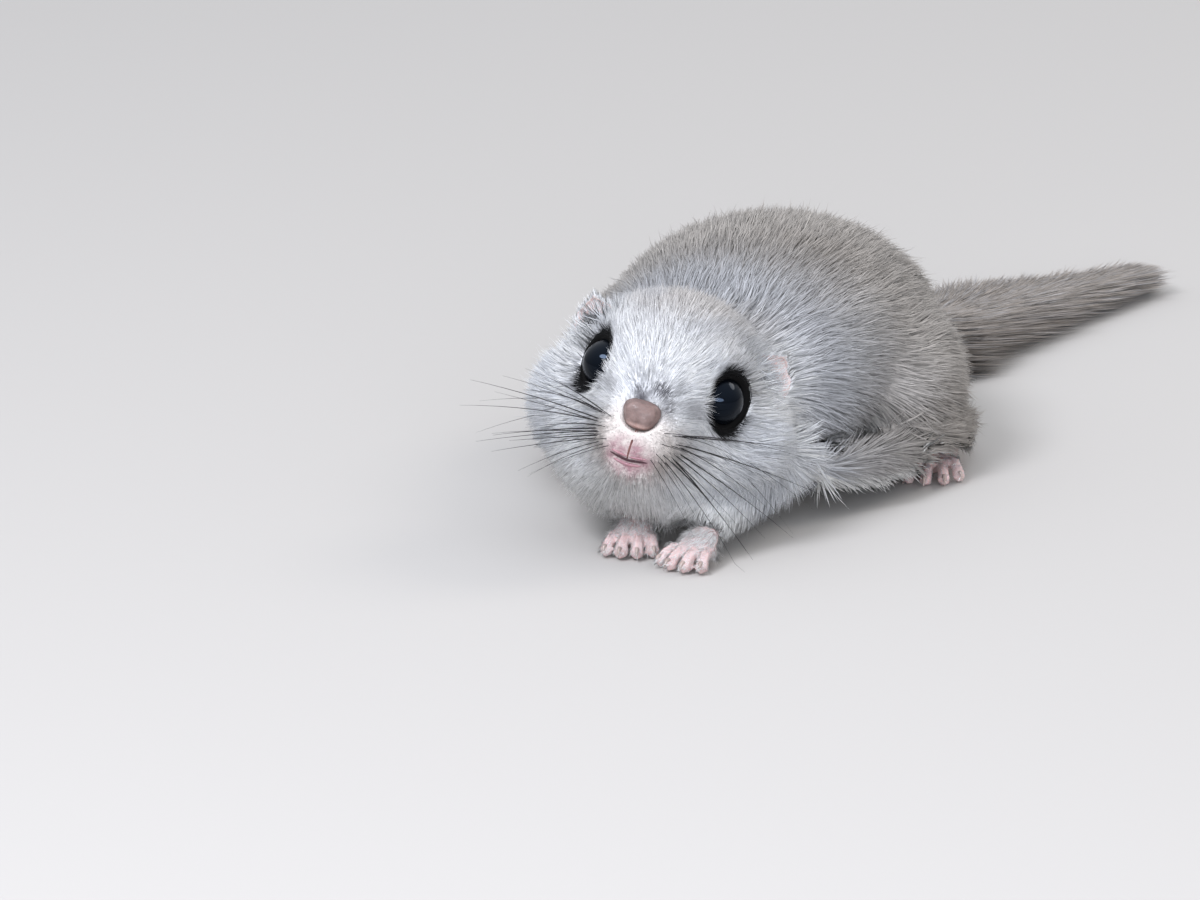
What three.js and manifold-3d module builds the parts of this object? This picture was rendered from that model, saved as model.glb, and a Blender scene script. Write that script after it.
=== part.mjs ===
// A Siberian flying squirrel in its pale winter coat, life size, crouching with its forepaws together under its chin,
// its head tilted and its plumed tail laid out behind it. Units are millimetres. +Z is up, the animal faces -Y and its
// left side is at +X. The soft forms are smooth fields melted together and meshed; every outline is that of the coat.
import * as THREE from 'three';
import { mergeVertices } from 'three/addons/utils/BufferGeometryUtils.js';
import Module from 'manifold-3d';

const wasm = await Module();
wasm.setup();

// Driving dimensions
const gap = 0.35; // left between two pieces that touch
const eyeLineHeight = 30.8; // the middle of the eye line above the floor
const headTurn = 6; // degrees, towards the animal's left
const headLift = 15; // degrees, nose up
const headTilt = 15; // degrees, crown towards the animal's left
const eyeRadius = 5;
const eyeSpread = 9.7; // half the distance between the eyeballs' centres
const eyeDepth = 2.2; // the eyeballs' centres behind the eye line
const noseReach = 13.4; // the nose pad in front of the eye line
const noseDrop = 6.1; // and below it
const mouthDrop = 14.7; // the line of the mouth below the eye line
const cheekHalfWidth = 24.1;
const backHeight = 43;
const bodyHalfWidth = 31;
const rumpY = 102; // where the tail leaves the body
const tailLength = 118; // from the body to the tips of the hair
const plumeHalfWidth = 19;
const hindFootLength = 33;

// Vectors
const add = (a, b) => a.map((v, i) => v + b[i]);
const sub = (a, b) => a.map((v, i) => v - b[i]);
const scaled = (a, k) => a.map((v) => v * k);
const dot = (a, b) => a[0] * b[0] + a[1] * b[1] + a[2] * b[2];
const cross = (a, b) => [a[1] * b[2] - a[2] * b[1], a[2] * b[0] - a[0] * b[2], a[0] * b[1] - a[1] * b[0]];
const unit = (a) => scaled(a, 1 / Math.hypot(...a));
const mix = (a, b, t) => a + (b - a) * t;
const clamp = (v, low, high) => Math.min(high, Math.max(low, v));
const smoothStep = (t) => t * t * (3 - 2 * t);
const radians = THREE.MathUtils.degToRad;
const sides = { left: 1, right: -1 };

// Fields: each gives a point's distance outside a surface, negative inside
const ellipsoid = ([cx, cy, cz], [rx, ry, rz]) => (x, y, z) => {
  const [a, b, c] = [(x - cx) / rx, (y - cy) / ry, (z - cz) / rz];
  const reach = Math.hypot(a, b, c);
  return (reach * (reach - 1)) / Math.max(Math.hypot(a / rx, b / ry, c / rz), 1e-6);
};
const taper = (from, to, radiusFrom, radiusTo) => (x, y, z) => {
  const along = sub(to, from);
  const offset = sub([x, y, z], from);
  const t = clamp(dot(offset, along) / dot(along, along), 0, 1);
  return Math.hypot(...sub(offset, scaled(along, t))) - mix(radiusFrom, radiusTo, t);
};
const melted = (softness, ...fields) => (x, y, z) => fields.reduce((d, field) => {
  const other = field(x, y, z);
  const near = Math.max(softness - Math.abs(d - other), 0) / softness;
  return Math.min(d, other) - (near * near * softness) / 4;
}, 1e3);
const carved = (softness, field, tool) => (x, y, z) => {
  const [a, b] = [field(x, y, z), -tool(x, y, z)];
  const near = Math.max(softness - Math.abs(a - b), 0) / softness;
  return Math.max(a, b) + (near * near * softness) / 4;
};

// A closed indexed geometry as a solid
function solidOf(geometry) {
  const bare = geometry.clone();
  bare.deleteAttribute('normal');
  bare.deleteAttribute('uv');
  const merged = mergeVertices(bare, 1e-4);
  return new wasm.Manifold(new wasm.Mesh({
    numProp: 3,
    vertProperties: new Float32Array(merged.getAttribute('position').array),
    triVerts: new Uint32Array(merged.index.array),
  }));
}

function geometryOf(solid) {
  const { vertProperties, triVerts } = solid.getMesh();
  const geometry = new THREE.BufferGeometry();
  geometry.setAttribute('position', new THREE.BufferAttribute(new Float32Array(vertProperties), 3));
  geometry.setIndex(new THREE.BufferAttribute(new Uint32Array(triVerts), 1));
  return geometry;
}

const largest = (solid) => solid.decompose().sort((a, b) => b.volume() - a.volume())[0];
const fused = (...solids) => largest(solids.reduce((whole, piece) => whole.add(piece)));

// Grid lines from low to high, spaced fine near one place and widening by a share of the distance from it
function gridLines(low, high, fineAt, fine, widening) {
  const lines = [];
  const step = (at) => fine + widening * Math.abs(at - fineAt);
  for (let at = clamp(fineAt, low, high); at < high + step(at); at += step(at)) lines.push(at);
  for (let at = clamp(fineAt, low, high) - fine; at > low - step(at); at -= step(at)) lines.unshift(at);
  return lines;
}
const evenBox = (low, high, cell) => low.map((v, i) => gridLines(v, high[i], (v + high[i]) / 2, cell, 0));

// The surface of a field as a closed mesh: one vertex in each grid cell that it crosses, moved onto the surface
function surfaceOf(field, [xs, ys, zs]) {
  const [nx, ny, nz] = [xs.length, ys.length, zs.length];
  const at = (i, j, k) => (k * ny + j) * nx + i;
  const values = new Float32Array(nx * ny * nz);
  for (let k = 0; k < nz; k++)
    for (let j = 0; j < ny; j++)
      for (let i = 0; i < nx; i++) {
        const border = !i || !j || !k || i === nx - 1 || j === ny - 1 || k === nz - 1;
        values[at(i, j, k)] = border ? 1 : field(xs[i], ys[j], zs[k]);
      }
  const vertexIn = new Map();
  const positions = [];
  const slope = 0.05;
  const settle = (p) => {
    const d = field(...p);
    const g = [0, 1, 2].map((axis) => {
      const q = [...p];
      q[axis] += slope;
      return (field(...q) - d) / slope;
    });
    return sub(p, scaled(g, d / Math.max(dot(g, g), 0.2)));
  };
  for (let k = 0; k < nz - 1; k++)
    for (let j = 0; j < ny - 1; j++)
      for (let i = 0; i < nx - 1; i++) {
        const sum = [0, 0, 0];
        let crossings = 0;
        for (let axis = 0; axis < 3; axis++)
          for (let corner = 0; corner < 4; corner++) {
            const from = [i, j, k];
            from[(axis + 1) % 3] += corner & 1;
            from[(axis + 2) % 3] += corner >> 1;
            const to = [...from];
            to[axis] += 1;
            const [a, b] = [values[at(...from)], values[at(...to)]];
            if (a < 0 === b < 0) continue;
            const [p, q] = [from, to].map(([u, v, w]) => [xs[u], ys[v], zs[w]]);
            p.forEach((v, n) => (sum[n] += mix(v, q[n], a / (a - b))));
            crossings++;
          }
        if (!crossings) continue;
        vertexIn.set(at(i, j, k), positions.length / 3);
        const inner = i && j && k && i < nx - 2 && j < ny - 2 && k < nz - 2;
        const found = scaled(sum, 1 / crossings);
        positions.push(...(inner ? settle(settle(found)) : found));
      }
  const place = (v) => positions.slice(3 * v, 3 * v + 3);
  const faces = [];
  for (let k = 0; k < nz - 1; k++)
    for (let j = 0; j < ny - 1; j++)
      for (let i = 0; i < nx - 1; i++)
        for (let axis = 0; axis < 3; axis++) {
          const to = [i, j, k];
          to[axis] += 1;
          const [inside, far] = [values[at(i, j, k)] < 0, values[at(...to)] < 0];
          if (inside === far) continue;
          const cells = [[0, 0], [1, 0], [1, 1], [0, 1]].map(([u, v]) => {
            const cell = [i, j, k];
            cell[(axis + 1) % 3] -= u;
            cell[(axis + 2) % 3] -= v;
            return vertexIn.get(at(...cell));
          });
          if (!inside) cells.reverse();
          const [a, b, c, d] = cells;
          const short = Math.hypot(...sub(place(a), place(c))) <= Math.hypot(...sub(place(b), place(d)));
          faces.push(...(short ? [a, b, c, a, c, d] : [b, c, d, b, d, a]));
        }
  const geometry = new THREE.BufferGeometry();
  geometry.setAttribute('position', new THREE.Float32BufferAttribute(positions, 3));
  geometry.setIndex(faces);
  return solidOf(geometry);
}

// A closed tube through rings: each ring has a centre, two half widths and the directions that they lie along
function tubeOf(rings, sideCount, tips) {
  const positions = [];
  rings.forEach(({ centre, across, up, halfWidth, halfHeight }) => {
    for (let s = 0; s < sideCount; s++) {
      const turn = (2 * Math.PI * s) / sideCount;
      positions.push(...add(centre, add(scaled(across, halfWidth * Math.cos(turn)), scaled(up, halfHeight * Math.sin(turn)))));
    }
  });
  const [first, last] = [rings.length * sideCount, rings.length * sideCount + 1];
  positions.push(...tips[0], ...tips[1]);
  const faces = [];
  for (let s = 0; s < sideCount; s++) {
    const next = (s + 1) % sideCount;
    faces.push(first, next, s);
    for (let r = 0; r < rings.length - 1; r++) {
      const [a, b] = [r * sideCount, (r + 1) * sideCount];
      faces.push(a + s, a + next, b + next, a + s, b + next, b + s);
    }
    const end = (rings.length - 1) * sideCount;
    faces.push(last, end + s, end + next);
  }
  const geometry = new THREE.BufferGeometry();
  geometry.setAttribute('position', new THREE.Float32BufferAttribute(positions, 3));
  geometry.setIndex(faces);
  const made = solidOf(geometry);
  if (made.volume() > 0) return made;
  geometry.setIndex(faces.map((v, i) => faces[i % 3 === 0 ? i : i % 3 === 1 ? i + 1 : i - 1]));
  return solidOf(geometry);
}

// A round-ended limb along a smooth curve; widths are half widths at even steps, flatness is height over width
function limbOf(points, widths, { sideCount = 8, steps = 6, flatness = 1, up = [0, 0, 1], blunt = 0.6 } = {}) {
  const curve = new THREE.CatmullRomCurve3(points.map((p) => new THREE.Vector3(...p)), false, 'centripetal');
  const widthAt = (t) => {
    const s = t * (widths.length - 1);
    const i = Math.min(Math.floor(s), widths.length - 2);
    return mix(widths[i], widths[i + 1], s - i);
  };
  const rings = [];
  for (let n = 0; n <= steps; n++) {
    const t = n / steps;
    const along = curve.getTangentAt(t).toArray();
    const across = unit(cross(along, up));
    const halfWidth = widthAt(t);
    rings.push({ centre: curve.getPointAt(t).toArray(), across, up: cross(across, along), halfWidth, halfHeight: halfWidth * flatness });
  }
  const end = (t, sign) => add(curve.getPointAt(t).toArray(), scaled(curve.getTangentAt(t).toArray(), sign * blunt * widthAt(t)));
  return tubeOf(rings, sideCount, [end(0, -1), end(1, 1)]);
}

// Everything on the plane's far side is cut away: the plane passes through a point, and normal points to what goes
function trimmed(solid, point, normal) {
  const size = 400;
  const block = new THREE.BoxGeometry(size, size, size);
  block.translate(0, 0, size / 2);
  const turn = new THREE.Quaternion().setFromUnitVectors(new THREE.Vector3(0, 0, 1), new THREE.Vector3(...unit(normal)));
  block.applyQuaternion(turn);
  block.translate(...point);
  return solid.subtract(solidOf(block));
}

// The head's own frame: its origin is the middle of the eye line, and its face looks along -Y
const headMatrix = new THREE.Matrix4()
  .makeRotationFromEuler(new THREE.Euler(radians(-headLift), radians(headTilt), radians(headTurn), 'ZXY'))
  .setPosition(0, 0, eyeLineHeight);
const headInverse = headMatrix.clone().invert();
const fromHead = (p) => new THREE.Vector3(...p).applyMatrix4(headMatrix).toArray();
const toHead = (p) => new THREE.Vector3(...p).applyMatrix4(headInverse).toArray();
const aheadInHead = (v) => new THREE.Vector3(...v).transformDirection(headInverse).toArray();

// Head forms, in the head's frame
const cranium = ellipsoid([0, 10.5, 1.1], [17.4, 19.5, 15.3]);
const cheeks = Object.values(sides).map((side) => ellipsoid([side * 9.4, 13.5, -7.6], [cheekHalfWidth - 9.4, 15.5, 12.6]));
const muzzle = ellipsoid([0, -4.6, -8.4], [7.4, 8.4, 6.6]);
const whiskerPads = Object.values(sides).map((side) => ellipsoid([side * 3.1, -7.4, -10.4], [3.7, 3.9, 3.8]));
const chin = ellipsoid([0, -2.6, -15.6], [5, 6.4, 4]);
const throat = ellipsoid([0, 8, -16], [15, 13, 9.5]);
const eyeCentre = (side) => [side * eyeSpread, eyeDepth, 0];
const eyeFaces = (side) => unit([side * Math.sin(radians(52)), -Math.cos(radians(52)), 0.06]);
const eyeSurrounds = Object.values(sides).map((side) => ellipsoid(eyeCentre(side), [eyeRadius + 0.5, eyeRadius + 0.5, eyeRadius + 1.4]));
const eyeDishes = Object.values(sides).map((side) => ellipsoid(add(eyeCentre(side), scaled(eyeFaces(side), 14.6)), [12, 12, 12.4]));
const headForms = melted(2.4, melted(5, melted(5, cranium, ...cheeks), muzzle, throat, chin), ...whiskerPads, ...eyeSurrounds);
const headField = eyeDishes.reduce((form, dish) => carved(1, form, dish), headForms);

// Body forms, in the part's frame
const torsoMiddle = 0.6 * rumpY;
const shoulders = ellipsoid([0, 37, 21.5], [23.5, 25, 17.5]);
const barrel = ellipsoid([0.6, torsoMiddle - 3, 22], [bodyHalfWidth - 2, 33, 20.5]);
const rump = ellipsoid([1, torsoMiddle + 14, 22], [bodyHalfWidth - 2, 29, backHeight - 22]);
const nape = taper(fromHead([-1, 18, -8.5]), [0, 38, 21], 14, 16.8);
const chest = taper([2, 8, 13], [0, 30, 16], 9, 14);
const tailRoot = taper([1.4, rumpY - 24, 20], [2.6, rumpY + 2, 11], 17, 8.6);
const knees = Object.fromEntries(Object.entries(sides).map(([name, side]) => [name, [side * 27 + 1, 66, 15.5]]));
const thighs = Object.values(knees).map((knee) => ellipsoid(knee, [9.4, 18, 13.6]));
// The gliding skin, folded along the flank from the elbow to the ankle
const foldPath = (side) => [[20, 27, 9], [27, 38, 8], [31.5, 50, 7.2], [34, 62, 7], [33.5, 75, 7.4], [29, 86, 8]].map(([x, y, z], i) => [side * (x + 0.7 * Math.sin(2.1 * i + side)), y, z]);
const bodyField = melted(3, melted(7, shoulders, barrel, rump, nape, chest, tailRoot), ...thighs);
const wholeField = (x, y, z) => melted(3.5, bodyField, () => headField(...toHead([x, y, z])))(x, y, z);
const wholeInHead = (x, y, z) => wholeField(...fromHead([x, y, z]));

// Parting planes behind the head and behind the neck, square to the neck
const neckAlong = unit([0, 0.9, -0.42]);
const headEnd = [0, 22, 30];
const neckEnd = [0, 35, 26];
const tailPlane = { point: [2.6, rumpY - 3, 11], normal: unit([0.06, 0.95, -0.32]) };
const bellyClear = 1.2; // the belly's fur above the floor

// Limbs, in the part's frame: the wrists and the tips of the paws are set by the picture
const foreLimbs = {
  left: { elbow: [17, 24, 14], wrist: [9.6, -2.6, 5.6], tip: [6.2, -13.2, 1.3] },
  right: { elbow: [-16.5, 27, 14], wrist: [-5.4, 3.4, 5.6], tip: [-3.9, -7.6, 1.3] },
};
const hindLimbs = {
  left: { heel: [30.5, 84, 3], tip: [34.5, 84 - hindFootLength, 1.4] },
  right: { heel: [-28.5, 84, 3], tip: [-32.5, 84 - hindFootLength, 1.4] },
};

// A digit: from the paw's knuckle it rises a little, comes down on its pad and ends in a hooked claw
function digitOf(knuckle, along, length, halfWidth) {
  const at = (t, height) => [...add(knuckle, scaled(along, length * t)).slice(0, 2), height];
  const pad = limbOf([add(knuckle, scaled(along, -2.2)), at(0.35, halfWidth * 2.3), at(0.72, halfWidth * 1.7), at(0.94, halfWidth * 0.8)],
    [halfWidth * 1.05, halfWidth, halfWidth * 0.86, halfWidth * 1.08], { sideCount: 5, steps: 4, blunt: 0.75 });
  const claw = limbOf([at(0.9, halfWidth * 1.5), at(1.12, halfWidth * 1.5), at(1.27, halfWidth * 0.55)],
    [0.55, 0.5, 0.16], { sideCount: 4, steps: 2, blunt: 1 });
  return pad.add(claw);
}

// A paw: a palm with its digits spread in a fan round the direction in which it points
function pawOf({ wrist, tip }, side, { digitCount, spread, palmLength, palmWidth, digitLength, digitWidth, lengths, palmFrom }) {
  const flat = (v) => unit([v[0], v[1], 0]);
  const along = flat(sub(tip, wrist));
  const across = [-along[1] * -side, along[0] * -side, 0];
  const front = add([...add(wrist, scaled(along, palmLength)).slice(0, 2), 0], [0, 0, digitWidth * 1.75]);
  const palm = limbOf([palmFrom ?? wrist, add(scaled(add(wrist, front), 0.5), [0, 0, 0.2]), front],
    [palmWidth * 0.62, palmWidth * 0.9, palmWidth], { sideCount: 8, steps: 4, flatness: 0.5, blunt: 0.35 });
  const digits = lengths.map((share, n) => {
    const fan = digitCount > 1 ? n / (digitCount - 1) - 0.5 : 0;
    const turn = radians(spread) * fan;
    const direction = add(scaled(along, Math.cos(turn)), scaled(across, Math.sin(turn)));
    const knuckle = add(front, add(scaled(across, palmWidth * 1.55 * fan), scaled(along, -1.5 * Math.abs(fan))));
    return digitOf(knuckle, direction, digitLength * share, digitWidth);
  });
  return fused(palm, ...digits);
}

const forePawSizes = { digitCount: 4, spread: 34, palmLength: 6, palmWidth: 3.9, digitLength: 5.1, digitWidth: 1.3, lengths: [0.86, 1, 1, 0.84] };
const hindPawSizes = { digitCount: 5, spread: 42, palmLength: 20, palmWidth: 4.4, digitLength: 9.4, digitWidth: 1.2, lengths: [0.74, 0.98, 1, 0.98, 0.8] };

// One flat, tapered lock of hair: it leaves the root, bends along the lie and ends in a point
function lockOf(root, out, along, { length, width, thickness, sweep, rise }) {
  const rings = [];
  const steps = [0, 0.34, 0.66, 0.88];
  const at = (t) => {
    const lean = mix(sweep, sweep * 0.45, t);
    const outShare = Math.sin(radians(lean)) * t * length;
    return add(root, add(add(scaled(out, outShare), scaled(along, Math.cos(radians(lean)) * t * length)), [0, 0, rise * t * t]));
  };
  steps.forEach((t) => {
    const heading = unit(sub(at(t + 0.05), at(t - 0.05)));
    const up = unit(sub([0, 0, 1], scaled(heading, heading[2])));
    const share = [0.62, 1, 0.86, 0.46][rings.length];
    rings.push({ centre: at(t), across: cross(heading, up), up, halfWidth: width * share, halfHeight: thickness * share });
  });
  return tubeOf(rings, 4, [at(-0.04), at(1)]);
}

// The tail: a short furred base, then a flat plume laid on the floor in a slight curve
const tailPath = new THREE.CatmullRomCurve3([[2.4, rumpY - 4, 11.5], [5, rumpY + 16, 7.2], [9, rumpY + 40, 4.7], [18, rumpY + 66, 3.6], [32, rumpY + 92, 3.2]]
  .map((p) => new THREE.Vector3(...p)), false, 'centripetal');
const plumeStart = 0.2; // share of the path
const plumeWidthAt = (t) => plumeHalfWidth * Math.sin(Math.PI * clamp(mix(0.24, 0.86, t), 0, 1)) ** 0.7;

function tailSolids() {
  const core = (from, to, widthOf, flatness) => {
    const count = 7;
    const points = Array.from({ length: count }, (_, n) => tailPath.getPointAt(mix(from, to, n / (count - 1))).toArray());
    return limbOf(points, points.map((_, n) => widthOf(mix(from, to, n / (count - 1)))), { sideCount: 10, steps: 10, flatness });
  };
  const base = core(0, plumeStart, (t) => mix(9.6, 9.4, t / plumeStart), mix(0.9, 0.7, 0.5));
  const plumeCore = core(plumeStart, 0.985, (t) => mix(9, 1.6, smoothStep((t - plumeStart) / (1 - plumeStart))), 0.56);
  let seed = 7;
  const random = () => {
    seed = (seed * 16807) % 2147483647;
    return seed / 2147483647;
  };
  const locks = [];
  const rows = 9;
  for (let row = 0; row < rows; row++)
    for (const side of Object.values(sides))
      for (const layer of [0, 1]) {
        const share = (row + 0.5 * layer + 0.2 * random()) / rows;
        const t = mix(plumeStart + 0.05, 0.97, share);
        const centre = tailPath.getPointAt(t).toArray();
        const along = unit([...tailPath.getTangentAt(t).toArray().slice(0, 2), 0]);
        const out = [along[1] * side, -along[0] * side, 0];
        const reach = plumeWidthAt(share) * mix(1, 0.8, layer) * mix(0.94, 1.06, random());
        const sweep = mix(mix(52, 34, share), 12, smoothStep(clamp((share - 0.75) / 0.25, 0, 1)));
        const coreWidth = mix(5, 1, share);
        locks.push(lockOf(add(centre, add(scaled(out, coreWidth * 0.4), [0, 0, mix(-0.4, 1.5, layer)])), out, along,
          { length: reach / Math.sin(radians(Math.max(sweep * 0.62, 20))) * 0.74 + 3, width: 4.3, thickness: 0.85, sweep, rise: mix(-1.2, 0.4, layer) - centre[2] * 0.3 }));
      }
  return { base, plume: fused(plumeCore, ...locks) };
}

// Lids: an almond rim round each eye's opening, hugging the eyeball
function lidOf(side) {
  const facing = eyeFaces(side);
  const slant = radians(side * 14);
  const acrossFlat = unit(cross([0, 0, 1], facing));
  const upFlat = cross(facing, acrossFlat);
  const across = add(scaled(acrossFlat, Math.cos(slant)), scaled(upFlat, Math.sin(slant)));
  const up = cross(facing, across);
  const count = 18;
  const rings = [];
  for (let n = 0; n < count; n++) {
    const turn = (2 * Math.PI * n) / count;
    const open = mix(52, 56, Math.abs(Math.sin(turn))); // degrees between the eye's axis and its rim
    const rim = add(scaled(facing, Math.cos(radians(open))), scaled(add(scaled(across, Math.cos(turn)), scaled(up, Math.sin(turn))), Math.sin(radians(open))));
    rings.push(add(eyeCentre(side), scaled(unit(rim), eyeRadius + 0.6)));
  }
  const ringTube = [];
  const sideCount = 5;
  const positions = [];
  rings.forEach((centre) => {
    const out = unit(sub(centre, eyeCentre(side)));
    const away = unit(sub(out, scaled(facing, dot(out, facing))));
    for (let s = 0; s < sideCount; s++) {
      const turn = (2 * Math.PI * s) / sideCount;
      positions.push(...add(centre, add(scaled(out, 0.62 * Math.cos(turn)), scaled(away, 0.75 * Math.sin(turn)))));
    }
  });
  for (let n = 0; n < count; n++)
    for (let s = 0; s < sideCount; s++) {
      const [a, b] = [n * sideCount, ((n + 1) % count) * sideCount];
      const next = (s + 1) % sideCount;
      ringTube.push(a + s, a + next, b + next, a + s, b + next, b + s);
    }
  const geometry = new THREE.BufferGeometry();
  geometry.setAttribute('position', new THREE.Float32BufferAttribute(positions, 3));
  geometry.setIndex(ringTube);
  const made = solidOf(geometry);
  if (made.volume() > 0) return made;
  geometry.setIndex(ringTube.map((v, i) => ringTube[i % 3 === 0 ? i : i % 3 === 1 ? i + 1 : i - 1]));
  return solidOf(geometry);
}

// The line of the mouth: a thin wedge that curves round the front of the muzzle, and the cleft above it
function mouthCutter() {
  const points = [];
  const halfWidth = 5.4;
  for (let n = -4; n <= 4; n++) {
    const x = (n / 4) * halfWidth;
    points.push([x, -9.4 + 0.16 * x * x, -mouthDrop + 0.35 * Math.abs(x) ** 1.2 - (Math.abs(n) < 1 ? -0.25 : 0)]);
  }
  const line = limbOf(points, [0.4, 1.4, 1.7, 1.4, 0.4], { sideCount: 4, steps: 12, flatness: 0.26, up: [0, 0.2, 1] });
  const cleft = limbOf([[0, -noseReach + 1.6, -noseDrop - 2.2], [0, -11.3, -mouthDrop + 2.6], [0, -9.9, -mouthDrop]], [0.3, 0.45, 0.5], { sideCount: 4, steps: 4, up: [1, 0, 0] });
  return line.add(cleft);
}

// The nose pad: broad above, narrower below, with a comma nostril at each lower side
const noseCentre = [0, -noseReach + 1.9, -noseDrop];
const noseField = melted(1.2, ellipsoid(add(noseCentre, [0, 0, 0.5]), [3.25, 2.3, 2.2]), ellipsoid(add(noseCentre, [0, -0.1, -1]), [2.3, 2.1, 1.7]));
const nostrils = Object.values(sides).map((side) => limbOf([add(noseCentre, [side * 1.3, -2.1, -1.5]), add(noseCentre, [side * 2.3, -1.6, -1.2]), add(noseCentre, [side * 3.2, -0.4, -0.7])], [0.35, 0.6, 0.35], { sideCount: 5, steps: 4, flatness: 0.7 }));

// An ear: a thin cup that opens forwards and outwards, its rim rolled, rooted in the coat of the head
function earOf(side, grow = 0) {
  const root = [side * 14.6, 10, 2.6];
  const upward = unit([side * 0.4, 0.16, 0.9]);
  const facing = unit([side * 0.5, -0.86, -0.02]);
  const across = cross(upward, facing);
  const height = 9.3 + grow;
  const halfWidth = 5.2 + grow;
  const wall = 0.75 + 2 * grow;
  const levels = 6;
  const around = 7;
  const surface = (offset) => {
    const grid = [];
    for (let r = 0; r <= levels; r++) {
      const t = r / levels;
      const wide = halfWidth * Math.sqrt(Math.max(1 - t ** 3.4, 0)) * mix(0.8, 1, Math.min(t * 3, 1)) + 0.25;
      for (let s = 0; s <= around; s++) {
        const turn = mix(-1, 1, s / around);
        const depth = 2.6 * (1 - turn * turn) * mix(1, 0.25, t);
        grid.push(add(add(root, scaled(upward, mix(-1.6 - grow, height, t) - 1.1 * turn * turn)), add(scaled(across, wide * turn), scaled(facing, -depth + offset))));
      }
    }
    return grid;
  };
  const front = surface(wall / 2);
  const back = surface(-wall / 2);
  const positions = [...front, ...back].flat();
  const width = around + 1;
  const shift = front.length;
  const faces = [];
  for (let r = 0; r < levels; r++)
    for (let s = 0; s < around; s++) {
      const a = r * width + s;
      faces.push(a, a + 1, a + width + 1, a, a + width + 1, a + width);
      faces.push(shift + a, shift + a + width + 1, shift + a + 1, shift + a, shift + a + width, shift + a + width + 1);
    }
  const border = [];
  for (let s = 0; s < around; s++) border.push(s);
  for (let r = 0; r < levels; r++) border.push(r * width + around);
  for (let s = around; s > 0; s--) border.push(levels * width + s);
  for (let r = levels; r > 0; r--) border.push(r * width);
  border.forEach((a, i) => {
    const b = border[(i + 1) % border.length];
    faces.push(a, shift + b, b, a, shift + a, shift + b);
  });
  const geometry = new THREE.BufferGeometry();
  geometry.setAttribute('position', new THREE.Float32BufferAttribute(positions, 3));
  geometry.setIndex(faces);
  const made = solidOf(geometry);
  if (made.volume() > 0) return made;
  geometry.setIndex(faces.map((v, i) => faces[i % 3 === 0 ? i : i % 3 === 1 ? i + 1 : i - 1]));
  return solidOf(geometry);
}

// Meshes of the fields
const headGrid = [gridLines(-27, 27, 0, 1.5, 0.075), gridLines(-17, 45, -9, 1.45, 0.085), gridLines(-33, 31, -9, 1.5, 0.085)];
const bodyGrid = evenBox([-44, -6, -4], [44, rumpY + 14, 62], 4.6);
const footroom = 0.35;
const offsetField = (field, by) => (x, y, z) => field(x, y, z) - by;

const wholeHead = surfaceOf(wholeInHead, headGrid);
const wholeBody = surfaceOf(wholeField, bodyGrid);
const headFlesh = trimmed(wholeHead, toHead(headEnd), aheadInHead(neckAlong));
const nose = surfaceOf(noseField, evenBox(add(noseCentre, [-4.4, -3.6, -4]), add(noseCentre, [4.4, 3.6, 4]), 1.0));
const noseRoom = surfaceOf(offsetField(noseField, gap), evenBox(add(noseCentre, [-5, -4, -5]), add(noseCentre, [5, 4, 5]), 1));

const sphereAt = (centre, radius, across, down) => solidOf(new THREE.SphereGeometry(radius, across, down).translate(...centre));
const ears = {};
for (const [name, side] of Object.entries(sides)) ears[name] = earOf(side);

const armPoints = ({ elbow, wrist }) => [elbow, scaled(add(elbow, wrist), 0.5), add(wrist, [0, 0, 0.4])];
const armWidths = [7, 6, 4.2];
const armRoomInHead = (limb) => limbOf(armPoints(limb).map(toHead), armWidths.map((w) => w + gap), { sideCount: 10, steps: 6, blunt: 0.55, up: aheadInHead([0, 0, 1]) });
const pawRoomInHead = ({ wrist, tip }) => limbOf([wrist, scaled(add(wrist, tip), 0.5), tip].map(toHead), [4.6, 6, 6.4], { sideCount: 10, steps: 4, flatness: 0.9, up: aheadInHead([0, 0, 1]) });

let head = headFlesh;
for (const limb of Object.values(foreLimbs)) head = head.subtract(armRoomInHead(limb)).subtract(pawRoomInHead(limb));
for (const side of Object.values(sides)) head = head.add(lidOf(side));
for (const side of Object.values(sides)) head = head.subtract(sphereAt(eyeCentre(side), eyeRadius + gap, 16, 10));
for (const side of Object.values(sides)) head = head.subtract(earOf(side, gap));
head = largest(head.subtract(noseRoom).subtract(mouthCutter()));

// Meshes and materials
const finishes = {
  paleCoat: { color: 0xcfd4dc, roughness: 0.9, metalness: 0 },
  greyCoat: { color: 0xa9a6a4, roughness: 0.9, metalness: 0 },
  plumeCoat: { color: 0x9d958e, roughness: 0.9, metalness: 0 },
  barePaw: { color: 0xd3bfc0, roughness: 0.7, metalness: 0 },
  nosePad: { color: 0x97807c, roughness: 0.5, metalness: 0 },
  eyeGloss: { color: 0x0a0c10, roughness: 0.05, metalness: 0 },
};
const root = new THREE.Group();
const headGroup = new THREE.Group();
headMatrix.decompose(headGroup.position, headGroup.quaternion, headGroup.scale);
root.add(headGroup);

function place(name, solid, finish, parent = root) {
  const mesh = new THREE.Mesh(geometryOf(solid), new THREE.MeshStandardMaterial(finishes[finish]));
  mesh.name = name;
  parent.add(mesh);
}

place('head', head, 'paleCoat', headGroup);
let noseSolid = nose;
for (const nostril of nostrils) noseSolid = noseSolid.subtract(nostril);
place('nose', largest(noseSolid), 'nosePad', headGroup);
for (const [name, side] of Object.entries(sides)) {
  place(`eye_${name}`, sphereAt(eyeCentre(side), eyeRadius, 14, 9), 'eyeGloss', headGroup);
  place(`ear_${name}`, ears[name], 'paleCoat', headGroup);
}

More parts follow.
